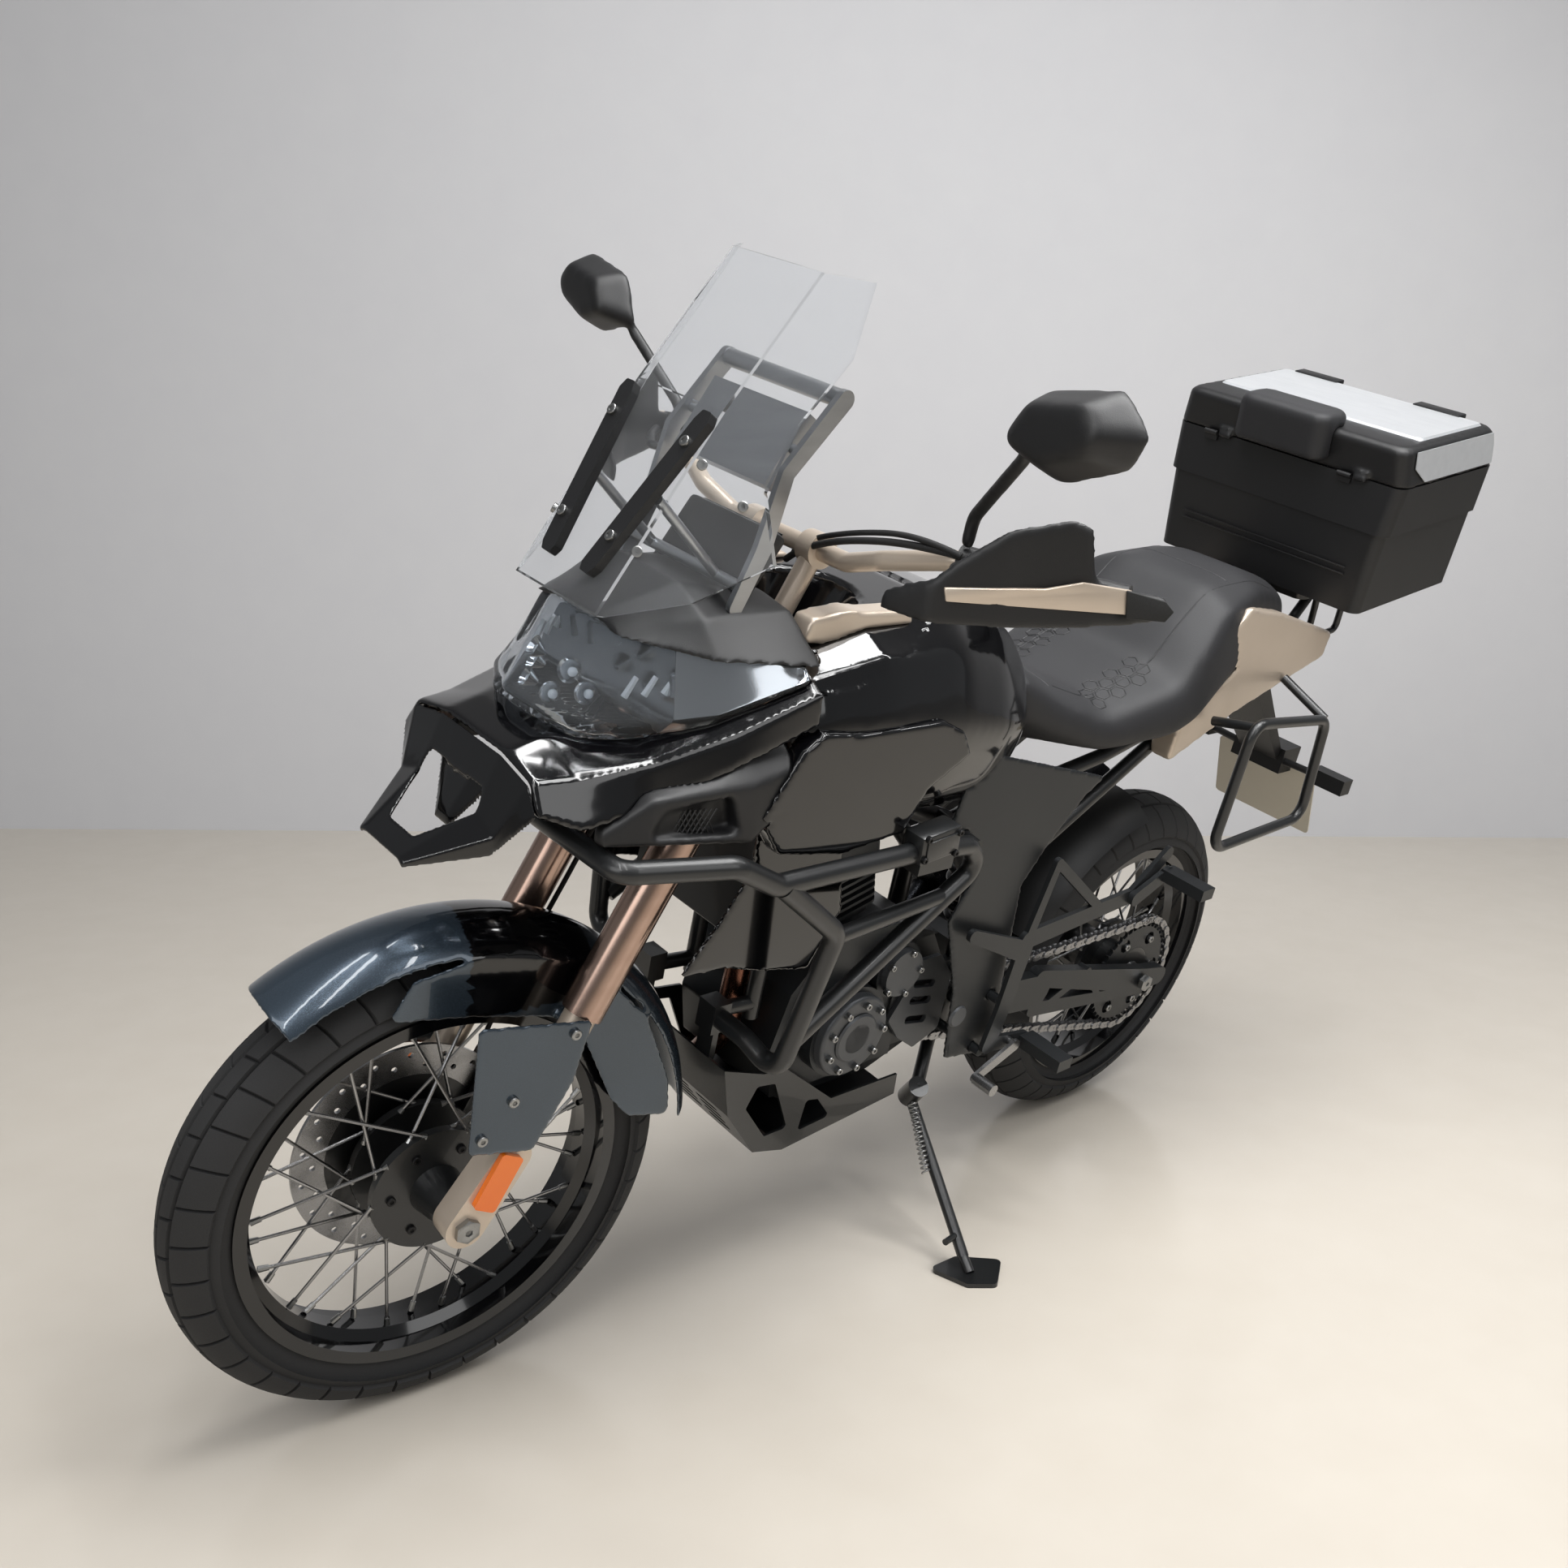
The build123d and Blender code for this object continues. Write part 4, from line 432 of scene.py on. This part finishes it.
# ---------------------------------------------------------------- tyres
def treaded(name, centre, radius, width, lip_r, body, replaced, pitches):
    """A tyre whose crown is cut into blocks: two rows down the middle and one on each shoulder, staggered
    and raked. Its section is spun about the axle, three steps to a block."""
    half, bead_half, bead_r, crown_r = width / 2, 0.34 * width, lip_r - 12, radius - width / 2
    groove, bead_wall, side_wall, crown_wall = 5.0, 9, 10, 14
    crown_edge, columns, steps = 78, 12, pitches * 3
    mesh = bmesh.new()
    ring = []
    for i in range(columns + 1):
        a = radians(-crown_edge + 2 * crown_edge * i / columns)
        ring.append((crown_r + (half - groove) * cos(a), (half - groove) * sin(a)))
    outer = [(bead_r, -bead_half + 1), (bead_r, -bead_half), (lip_r, -bead_half), (lip_r + 22, -half * 0.86),
             (crown_r, -half + 1)]
    inner = [(crown_r, half - 1), (lip_r + 22, half * 0.86), (lip_r, bead_half), (bead_r, bead_half),
             (bead_r, bead_half - bead_wall), (lip_r, bead_half - bead_wall), (crown_r, half - side_wall),
             (radius - crown_wall, 0), (crown_r, -half + side_wall), (lip_r, -bead_half + bead_wall),
             (bead_r, -bead_half + bead_wall)]
    verts = [mesh.verts.new(Vector(centre) + Vector((r, y, 0))) for r, y in outer + ring + inner]
    edges = [mesh.edges.new((a, b)) for a, b in zip(verts, verts[1:] + verts[:1])]
    bmesh.ops.spin(mesh, geom=verts + edges, cent=centre, axis=to_left, angle=2 * pi, steps=steps,
                   use_merge=True)
    bmesh.ops.remove_doubles(mesh, verts=mesh.verts, dist=0.01)
    bmesh.ops.recalc_face_normals(mesh, faces=mesh.faces)
    step = 2 * pi / steps
    blocks = {}
    for face in mesh.faces:
        at = face.calc_center_median() - Vector(centre)
        out = (at.x ** 2 + at.z ** 2) ** 0.5 - crown_r
        slope = atan2(abs(at.y), out)
        if out < 0 or slope > radians(crown_edge - 0.5) or (out ** 2 + at.y ** 2) ** 0.5 < half - groove - 2:
            continue
        side, shoulder = (1 if at.y > 0 else -1), int(slope > radians(26))
        turn = int((atan2(at.z, at.x) + pi) / step + 0.01)
        blocks.setdefault((side, shoulder, (turn + side + shoulder * 2 + 3) // 3), []).append(face)
    for faces in blocks.values():
        bmesh.ops.inset_region(mesh, faces=faces, thickness=2.4, depth=groove - 0.3, use_even_offset=True)
    for vert in mesh.verts:
        at = vert.co - Vector(centre)
        away = (at.x ** 2 + at.z ** 2) ** 0.5
        if away > crown_r:
            rake = 0.0011 * abs(at.y)
            x, z = at.x * cos(rake) - at.z * sin(rake), at.x * sin(rake) + at.z * cos(rake)
            vert.co = Vector(centre) + Vector((x, at.y, z))
    made = piece(name, mesh, body, tyre_rubber, steered if body == "front_wheel" else standing)
    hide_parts(replaced)
    return made


treaded("front_tread", front_axle, front_tyre_r, front_tyre_w, front_lip_r, "front_wheel", "front_tyre", 38)
treaded("rear_tread", rear_axle, rear_tyre_r, rear_tyre_w, rear_lip_r, "rear_wheel", "rear_tyre", 37)


# ---------------------------------------------------------------- wheels: spokes, nipples, bolts
spoke_count = 36
spoke_splay = radians(38)


def wheel_wires(name, centre, flange_r, flange_y, rim_r, body, place):
    """Polished spokes drawn over the wheel's own, each with a nipple at the rim and a head at the flange."""
    wires, nipples = bmesh.new(), bmesh.new()
    centre = Vector(centre)
    for number in range(spoke_count):
        side = 1 if number % 2 == 0 else -1
        leaning = 1 if (number // 2) % 2 == 0 else -1
        at_rim = 2 * pi * number / spoke_count
        at_hub = at_rim + leaning * spoke_splay
        across = side * (flange_y + leaning * 3)
        start = centre + Vector((flange_r * cos(at_hub), across, flange_r * sin(at_hub)))
        end = centre + Vector((rim_r * cos(at_rim), side * (7 + leaning * 3), rim_r * sin(at_rim)))
        way = (end - start).normalized()
        rod(wires, start + way * 4, end, 2.25, sides=8)
        rod(nipples, end - way * 14, end - way * 1, 3.6, 4.2, sides=8)
        rod(nipples, start + way * 1, start + way * 7, 4.2, 3.0, sides=8)
    piece(name + "_spokes", wires, body, ground_steel, place)
    piece(name + "_nipples", nipples, body, zinc_plate, place)


wheel_wires("front", front_axle, 82, 32, 224.8, "front_wheel", steered)
wheel_wires("rear", rear_axle, 75, 36, 199.8, "rear_wheel", standing)

# the disc's face, the far flange, the sprocket's face and the rear disc's face, across from the middle line
hub_bolts = bmesh.new()
bolt_circle(hub_bolts, (wheelbase, -66.5, front_tyre_r), to_right, 76, 6, 6, 4)
bolt_circle(hub_bolts, (wheelbase, 38.2, front_tyre_r), to_left, 60, 6, 6, 4)
piece("front_hub_bolts", hub_bolts, "front_wheel", black_oxide, steered)
drive_bolts = bmesh.new()
bolt_circle(drive_bolts, (0, 98.2, rear_tyre_r), to_left, 74, 6, 7, 6)
bolt_circle(drive_bolts, (0, -91, rear_tyre_r), to_right, 60, 6, 6, 5)
piece("rear_hub_bolts", drive_bolts, "rear_wheel", zinc_plate)

# ---------------------------------------------------------------- roller chain
rear_pitch_r, front_pitch_r = 111.3, 40.7
link_count, chain_y = 118, 95
inner_gap, outer_gap, plate_r, plate_t = 4.6, 6.4, 8.2, 1.6
countershaft = Vector((600, 0, 400))
rear_shaft = Vector(rear_axle)
chain_way = countershaft - rear_shaft
tip = atan2(chain_way.z, chain_way.x)
radius_step = rear_pitch_r - front_pitch_r
straight = (chain_way.length ** 2 - radius_step ** 2) ** 0.5
dip = atan2(radius_step, straight)
top_a, low_a = tip + pi / 2 + dip, tip - pi / 2 - dip


def on_sprocket(shaft, radius, angle):
    """The point of a sprocket's pitch circle at an angle."""
    return shaft + Vector((cos(angle), 0, sin(angle))) * radius


# the top run, round the front sprocket, the lower run, round the rear sprocket
front_sprocket, rear_sprocket = (countershaft, front_pitch_r), (rear_shaft, rear_pitch_r)
spans = [straight, front_pitch_r * (pi - 2 * dip), straight, rear_pitch_r * (pi + 2 * dip)]
top_end = spans[0]
front_end = top_end + spans[1]
low_end = front_end + spans[2]
route = []
for number in range(link_count):
    s = sum(spans) * number / link_count
    if s < top_end:
        start, end = on_sprocket(*rear_sprocket, top_a), on_sprocket(*front_sprocket, top_a)
        route.append(start.lerp(end, s / spans[0]))
    elif s < front_end:
        route.append(on_sprocket(*front_sprocket, top_a - (s - top_end) / front_pitch_r))
    elif s < low_end:
        start, end = on_sprocket(*front_sprocket, low_a), on_sprocket(*rear_sprocket, low_a)
        route.append(start.lerp(end, (s - front_end) / spans[2]))
    else:
        route.append(on_sprocket(*rear_sprocket, low_a - (s - low_end) / rear_pitch_r))

links = bmesh.new()
to_plate = Matrix.Diagonal((1.45, 1, 0.85, 1)) @ Matrix.Rotation(pi / 2, 4, "X")
for number, (here, after) in enumerate(zip(route, route[1:] + route[:1])):
    middle = (here + after) / 2
    lie = Matrix.Rotation(-atan2(after.z - here.z, after.x - here.x), 4, "Y")
    gap = outer_gap if number % 2 else inner_gap
    for side in (-1, 1):
        at = Matrix.Translation(middle + Vector((0, chain_y + side * gap, 0))) @ lie @ to_plate
        bmesh.ops.create_cone(links, cap_ends=True, segments=12, radius1=plate_r, radius2=plate_r,
                              depth=plate_t, matrix=at)
    for half_width, radius, sides in ((7.8, 2.6, 8), (4, 5.0, 10)):
        rod(links, here + Vector((0, chain_y - half_width, 0)), here + Vector((0, chain_y + half_width, 0)),
            radius, sides=sides)
roller_chain = piece("roller_chain", links, "chassis", ground_steel)
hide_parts("chain")

# ---------------------------------------------------------------- engine: fasteners and rings
clutch_centre, clutch_face, ring_face = (799, 445), 145.5, 147.2
fasteners, rings = bmesh.new(), bmesh.new()
bolt_circle(fasteners, (clutch_centre[0], clutch_face, clutch_centre[1]), to_left, 54, 9, 5.5, 7, first=0.3)
bolt_circle(fasteners, (708, 130.5, 520), to_left, 36, 5, 5, 7, first=0.6)
# centre x and z, face, outer and inner radius, depth, sides
for (x, z), y, outer_r, inner_r, depth, sides in (
    (clutch_centre, ring_face, 40, 37, 3, 48),
    (clutch_centre, ring_face, 27, 24, 3, 48),
    ((595, 436), 167.5, 19, 16, 4, 36),
):
    bmesh.ops.create_cone(rings, cap_ends=True, segments=sides, radius1=outer_r, radius2=inner_r, depth=depth,
                          matrix=Matrix.Translation((x, y, z)) @ Matrix.Rotation(-pi / 2, 4, "X"))
piece("cover_bolts", fasteners, "chassis", zinc_plate)
piece("cover_rings", rings, "chassis", cover_grey)

# ---------------------------------------------------------------- screws of the screen and its bars
screws = bmesh.new()
bar_screws, bar_way = ((1230, 66.5, 1293), (1295.5, 46, 1183.5)), (0.86, 0, 0.51)
wing_screws, wing_way = ((1218, 85, 1273), (1188, 128, 1239), (1283, 78, 1176)), (0.61, 0.7, 0.36)
for side in (-1, 1):
    for x, y, z in bar_screws:
        bolt(screws, (x, y * side, z), bar_way, 6.5, 4.5)
for x, y, z in wing_screws:
    for side in (-1, 1):
        bolt(screws, (x, y * side, z), (wing_way[0], wing_way[1] * side, wing_way[2]), 6, 3.5)
piece("screen_bolts", screws, "chassis", zinc_plate)

# ---------------------------------------------------------------- lamp: bowls, lenses and ribs under the lens
bowls, lenses, ribs = bmesh.new(), bmesh.new(), bmesh.new()
# each projector's mouth and radius on the left
projectors = ((1322, 34, 1022, 15), (1308, 50, 1000, 14), (1336, 22, 992, 13))
rib_count = 9
for side in (-1, 1):
    gaze = Vector((0.8, side * 0.35, 0.45)).to_track_quat("Z", "Y").to_matrix().to_4x4()
    for x, y, z, r in projectors:
        at = Matrix.Translation((x - 10, side * y, z)) @ gaze
        bmesh.ops.create_cone(bowls, cap_ends=False, segments=24, radius1=4, radius2=r, depth=16, matrix=at)
        bmesh.ops.create_uvsphere(lenses, u_segments=16, v_segments=8, radius=6, matrix=at)
    for number in range(rib_count):
        share = number / (rib_count - 1)
        x, y = 1285 - 165 * share, 92 + 72 * share
        low, high = 1010 + 26 * share, 1034 + 14 * share
        inset = Vector((6, side * 3, 0))
        rod(ribs, Vector((x, side * y, low)) - inset, Vector((x - 12, side * (y + 2), high)) - inset,
            4.6, 3.6, sides=6)
piece("lamp_bowls", bowls, "chassis", chromed)
piece("lamp_lenses", lenses, "chassis", projector_glass)
piece("lamp_ribs", ribs, "chassis", frosted_bar)

# ---------------------------------------------------------------- crash bar clamps, with their bolts
clamps, clamp_bolts = bmesh.new(), bmesh.new()
clamp_x, clamp_z = 842, 814
clamp_tilt = Matrix.Rotation(radians(6), 4, "Y")
for side in (-1, 1):
    block(clamps, (clamp_x, side * 224, clamp_z), (74, 36, 42), clamp_tilt, 4)
    block(clamps, (clamp_x, side * 243, clamp_z), (58, 3, 26), clamp_tilt, 1)
    for dx in (-30, 30):
        for dz in (-15, 15):
            bolt(clamp_bolts, (clamp_x + dx, side * 241.5, clamp_z + dz), (0, side, 0), 5, 5)
piece("bar_clamps", clamps, "chassis", powder_coat)
piece("bar_clamp_bolts", clamp_bolts, "chassis", black_oxide)

# ---------------------------------------------------------------- hand shield strips and their rubber ends
strips, ends = bmesh.new(), bmesh.new()
strip_outline = [(1040, 350, 1196), (958, 415, 1212), (926, 436, 1224), (880, 462, 1222), (872, 467, 1196),
                 (1038, 354, 1182)]
end_outline = [(885, 460, 1222), (848, 484, 1216), (838, 490, 1206), (845, 487, 1194), (880, 463, 1192)]
for side in (-1, 1):
    outward = (0.5, side * 0.86, 0)
    lift = Vector((1.5, side * 2.2, 0))
    sheet_of(strips, [Vector((x, side * y, z)) + lift for x, y, z in strip_outline], 5, outward)
    sheet_of(ends, [Vector((x + 2, side * (y + 3), z)) for x, y, z in end_outline], 6, outward)
for mesh, edge in ((strips, 1.4), (ends, 1.6)):
    bmesh.ops.bevel(mesh, geom=mesh.edges[:], offset=edge, affect="EDGES", segments=2, profile=0.5,
                    material=-1)
piece("shield_strips", strips, "steering", champagne_anodised, steered)
piece("shield_ends", ends, "steering", grip_rubber, steered)


# ---------------------------------------------------------------- mirror glass
def facing(made, place, points, way, lift):
    """Where lines along way through points first meet a piece, lifted off it."""
    tree = surface_of(made)
    back, aim = place.inverted(), (place.to_3x3() @ Vector(way)).normalized()
    met = [tree.ray_cast(place @ Vector(p), aim)[0] for p in points]
    return [back @ m - Vector(way) * lift for m in met if m]


glass = bmesh.new()
rim_line = [(398, 1362), (430, 1398), (512, 1412), (538, 1392), (505, 1364), (462, 1352), (425, 1351)]
behind_mirrors = 900
for side in (-1, 1):
    rim = [(behind_mirrors, side * y, z) for y, z in rim_line]
    sheet_of(glass, facing(mirror_housings, steered, rim, (1, 0, 0), 0.4), 1, (-1, 0, 0))
piece("mirror_glass", glass, "steering", chromed, steered)

# ---------------------------------------------------------------- instrument panel behind the screen
dash, display = bmesh.new(), bmesh.new()
lean_back = Matrix.Rotation(radians(-32), 4, "Y")
block(dash, (1098, 0, 1146), (22, 164, 96), lean_back, 7)
block(display, (1087.5, 0, 1152.5), (2.4, 146, 80), lean_back, 1)
piece("dash_housing", dash, "chassis", grained_plastic)
piece("dash_display", display, "chassis", gloss_lacquer)


# ---------------------------------------------------------------- hoses and wires along the bars
def on_fork(forward, left, up):
    """A point given from the steering axis: ahead of it, to its left and up along it."""
    rake = radians(26)
    return (1510 - sin(rake) * up + cos(rake) * forward, left, cos(rake) * up + sin(rake) * forward)


clutch_line = [(982, 310, 1216), (994, 250, 1224), (998, 180, 1210), (998, 110, 1188), (990, 50, 1166),
               (984, 20, 1142)]
switch_line = [(975, 330, 1216), (992, 250, 1214), (1004, 170, 1198), (1004, 100, 1176), (994, 40, 1150),
               (986, 10, 1130)]
brake_line = [on_fork(6, -100, 935), on_fork(2, -98, 850), on_fork(0, -97, 760), on_fork(2, -96, 680),
              (1262, -92, 520), (1290, -88, 450)]
for name, line, radius in (
    ("clutch_wire", clutch_line, 3.6),
    ("switch_wire", switch_line, 4.4),
    ("brake_hose", brake_line, 3.6),
):
    hose(name, line, radius, "steering", grip_rubber, steered)

# ---------------------------------------------------------------- side stand spring
coil = []
stand_pivot, leg_point = Vector((590, 118, 262)), Vector((628, 246, 130))
coil_turns, coil_steps, coil_r, coil_length = 15, 8, 7, 112
way = (leg_point - stand_pivot).normalized()
start = stand_pivot + way * 12 + Vector((14, 8, 6))
across = way.orthogonal().normalized()
other = way.cross(across)
for number in range(coil_turns * coil_steps):
    a = 2 * pi * number / coil_steps
    down_leg = start + way * (coil_length * number / (coil_turns * coil_steps))
    coil.append(down_leg + across * coil_r * cos(a) + other * coil_r * sin(a))
hose("stand_spring", coil, 1.5, "side_stand", zinc_plate)

# ---------------------------------------------------------------- top case: lid strips, side skins, ribs
# the case's own frame: back from its low front edge, across, and up
case_tilt = radians(8)
case = Matrix.Translation((-175, 0, 1042)) @ Matrix((
    (-cos(case_tilt), 0, sin(case_tilt), 0),
    (0, -1, 0, 0),
    (sin(case_tilt), 0, cos(case_tilt), 0),
    (0, 0, 0, 1),
))
lid_strips, skins, lines = bmesh.new(), bmesh.new(), bmesh.new()
for y in (-110, 130):
    block(lid_strips, (296, y, 290), (30, 88, 9), None, 2.5)
piece("lid_strips", lid_strips, "case_lid", grained_plastic, standing @ case)
skin_outline = [(34, 215.6, 281), (292, 215.6, 281), (300, 218.6, 258), (300, 223.2, 229), (70, 223.2, 229),
                (34, 219.6, 254)]
for side in (-1, 1):
    sheet_of(skins, [Vector((x, side * y, h)) for x, y, h in skin_outline], 1.4, (0, side, 0.12))
piece("lid_side_skins", skins, "case_lid", brushed_skin, standing @ case)
for h in (62, 74):
    block(lines, (-3.2, 0, h), (3, 330, 2.4), None, 0.6)
piece("case_ribs", lines, "chassis", grained_plastic, standing @ case)

# ---------------------------------------------------------------- fork feet: axle nuts and shield bolts
fork_bolts, nuts = bmesh.new(), bmesh.new()
bolt(nuts, (wheelbase, 126.5, front_tyre_r), to_left, 17, 8, sides=6, socket=0.3)
bolt(nuts, (wheelbase, -126.5, front_tyre_r), to_right, 15, 7, sides=6, socket=0.3)
for side in (-1, 1):
    for x, z in ((1402, 464), (1365, 509), (1290, 585)):
        bolt(fork_bolts, (x, side * 136.5, z), (0, side, 0), 7, 5)
piece("axle_nuts", nuts, "steering", zinc_plate, steered)
piece("fork_shield_bolts", fork_bolts, "steering", zinc_plate, steered)

# ---------------------------------------------------------------- tail lamp, indicators, axle nuts
tail_lens, indicators, rear_nuts = bmesh.new(), bmesh.new(), bmesh.new()
block(tail_lens, (-471.5, 0, 674), (6, 92, 34), None, 2)
for side in (-1, 1):
    block(indicators, (-450.5, side * 150, 668), (6, 58, 20), None, 2)
    bolt(rear_nuts, (0, side * 134, rear_tyre_r), (0, side, 0), 16, 9, sides=6, socket=0.3)
piece("tail_lens", tail_lens, "chassis", red_acrylic)
piece("rear_indicator_lenses", indicators, "chassis", amber_acrylic)
piece("rear_axle_nuts", rear_nuts, "chassis", zinc_plate)

# ---------------------------------------------------------------- intake grilles
# two sets of slanting wires, a few kept short of the opening's ends
grille = bmesh.new()
wire_count, slant = 17, 18
for side in (-1, 1):
    corner = Vector((1204, side * 196, 874))
    front, drop = Vector((104, -side * 22, 0)), Vector((0, -side * 2, 34))
    ahead = front.normalized()
    for number in range(wire_count):
        low = corner + front * (number / (wire_count - 1))
        for lean in (-1, 1):
            high = low + drop + ahead * slant * lean
            if 0 <= (high - corner).dot(ahead) <= front.length + 4:
                rod(grille, low, high, 1.0, sides=6)
piece("intake_grilles", grille, "chassis", grained_plastic)

# ---------------------------------------------------------------- seat: piped seams and pressed hexagons
seat_tree = surface_of(saddle)
to_upright = standing.inverted()
down = (standing.to_3x3() @ Vector((0, 0, -1))).normalized()
over_seat = 1400


def on_saddle(x, y, sink=0.0):
    """The point of the seat's top at (x, y), sunk below its surface."""
    found = seat_tree.ray_cast(standing @ Vector((x, y, over_seat)), down)[0]
    return to_upright @ found - Vector((0, 0, sink)) if found else None


def piping(mesh, line, radius, closed=False):
    """Rods from each point of a line to the next. Points that missed the seat are left out."""
    points = [p for p in line if p]
    for a, b in zip(points, points[1:] + (points[:1] if closed else [])):
        rod(mesh, a, b, radius, sides=6)


seams, hexes = bmesh.new(), bmesh.new()
for y in (-92, 92):
    piping(seams, [on_saddle(x, y * min(1.0, 1.25 - x / 1100), 0.6) for x in range(-70, 470, 18)], 1.5)
for x in (60, 470):
    piping(seams, [on_saddle(x, y, 0.6) for y in range(-84, 85, 12)], 1.5)
piece("seat_seams", seams, "chassis", embossed_vinyl)
hex_r, hex_pitch, hex_row = 12.5, 23, 25
for row in range(2):
    for number in range(6):
        for side in (-1, 1):
            cx, cy = 250 + number * hex_pitch, side * (70 + row * hex_row + (number % 2) * hex_row / 2)
            corners = [pi * i / 3 for i in range(6)]
            ring = [on_saddle(cx + hex_r * cos(a), cy + hex_r * sin(a), 0.2) for a in corners]
            if all(ring):
                piping(hexes, ring, 1.1, closed=True)
piece("seat_hexagons", hexes, "chassis", grained_plastic)


# ---------------------------------------------------------------- floor, wall, light and camera
def staged(mesh, name, material):
    """A piece of the room, which isn't part of the object."""
    made = held(mesh, name)
    made.data.materials.append(material)


# polished porcelain floor, pale and warm, with a soft shine
porcelain = finish_of("polished porcelain floor", "#c6beb2", "#ccc5ba", 0.2, grain=40, bump=0.01, spread=0.04)
# painted plaster
plaster = finish_of("painted plaster", "#c6c6c9", "#cacacc", 0.8, grain=3, bump=0.05)
half_room, wall_turn, wall_shift = 9, radians(48), (4.4, 4.6, 0)
floor_mesh, wall_mesh = bmesh.new(), bmesh.new()
for mesh in (floor_mesh, wall_mesh):
    bmesh.ops.create_grid(mesh, x_segments=1, y_segments=1, size=half_room)
staged(floor_mesh, "floor", porcelain)
bmesh.ops.rotate(wall_mesh, verts=wall_mesh.verts, matrix=Matrix.Rotation(radians(90), 3, "Y"))
bmesh.ops.translate(wall_mesh, verts=wall_mesh.verts, vec=(-half_room, 0, 0))
bmesh.ops.rotate(wall_mesh, verts=wall_mesh.verts, matrix=Matrix.Rotation(wall_turn, 3, "Z"))
bmesh.ops.translate(wall_mesh, verts=wall_mesh.verts, vec=wall_shift)
staged(wall_mesh, "wall", plaster)

camera_data = bpy.data.cameras.new("camera")
camera_data.lens = 35.53
camera_data.sensor_width = 36
camera = bpy.data.objects.new("camera", camera_data)
bpy.context.scene.collection.objects.link(camera)
# the camera's place, and where it looks: turned from +X, tipped up and rolled
eye = (1.7042, 1.3750, 1.2456)
yaw, pitch, roll = radians(-133.19), radians(-12.72), radians(0.64)
ahead = Vector((cos(yaw) * cos(pitch), sin(yaw) * cos(pitch), sin(pitch)))
right = Vector((sin(yaw), -cos(yaw), 0))
over = right.cross(ahead)
right, over = right * cos(roll) + over * sin(roll), over * cos(roll) - right * sin(roll)
turn = Matrix((right, over, -ahead)).transposed().to_4x4()
camera.matrix_world = Matrix.Translation(eye) @ turn
bpy.context.scene.camera = camera


def lamp(name, place, aim, size, power):
    """A white area lamp at place that shines at aim."""
    data = bpy.data.lights.new(name, "AREA")
    data.size = size
    data.energy = power
    made = bpy.data.objects.new(name, data)
    bpy.context.scene.collection.objects.link(made)
    made.location = place
    made.rotation_euler = (Vector(aim) - Vector(place)).to_track_quat("-Z", "Y").to_euler()
    return made


for number, across in enumerate((-1.9, -0.9, 0.1, 1.1, 2.1)):
    place, aim = (0.3 + across, 0.9, 3.2), (0.2 + across * 0.6, 0.2, 0.4)
    strip = lamp(f"ceiling strip {number}", place, aim, 0.13, 27)
    strip.data.shape = "RECTANGLE"
    strip.data.size_y = 3.4
lamp("overhead box", (-0.4, 1.2, 3.4), (0, 0, 0.5), 1.4, 60)
lamp("front fill", (3.4, 0.6, 2.0), (0.2, 0, 0.6), 1.6, 22)
lamp("side fill", (0.2, 3.6, 2.2), (0, 0, 0.6), 1.8, 22)
world = bpy.data.worlds.new("room")
world.use_nodes = True
background = world.node_tree.nodes["Background"]
background.inputs["Color"].default_value = paint("#d4d6d8")
background.inputs["Strength"].default_value = 0.36
bpy.context.scene.world = world
bpy.context.scene.view_settings.view_transform = "Standard"
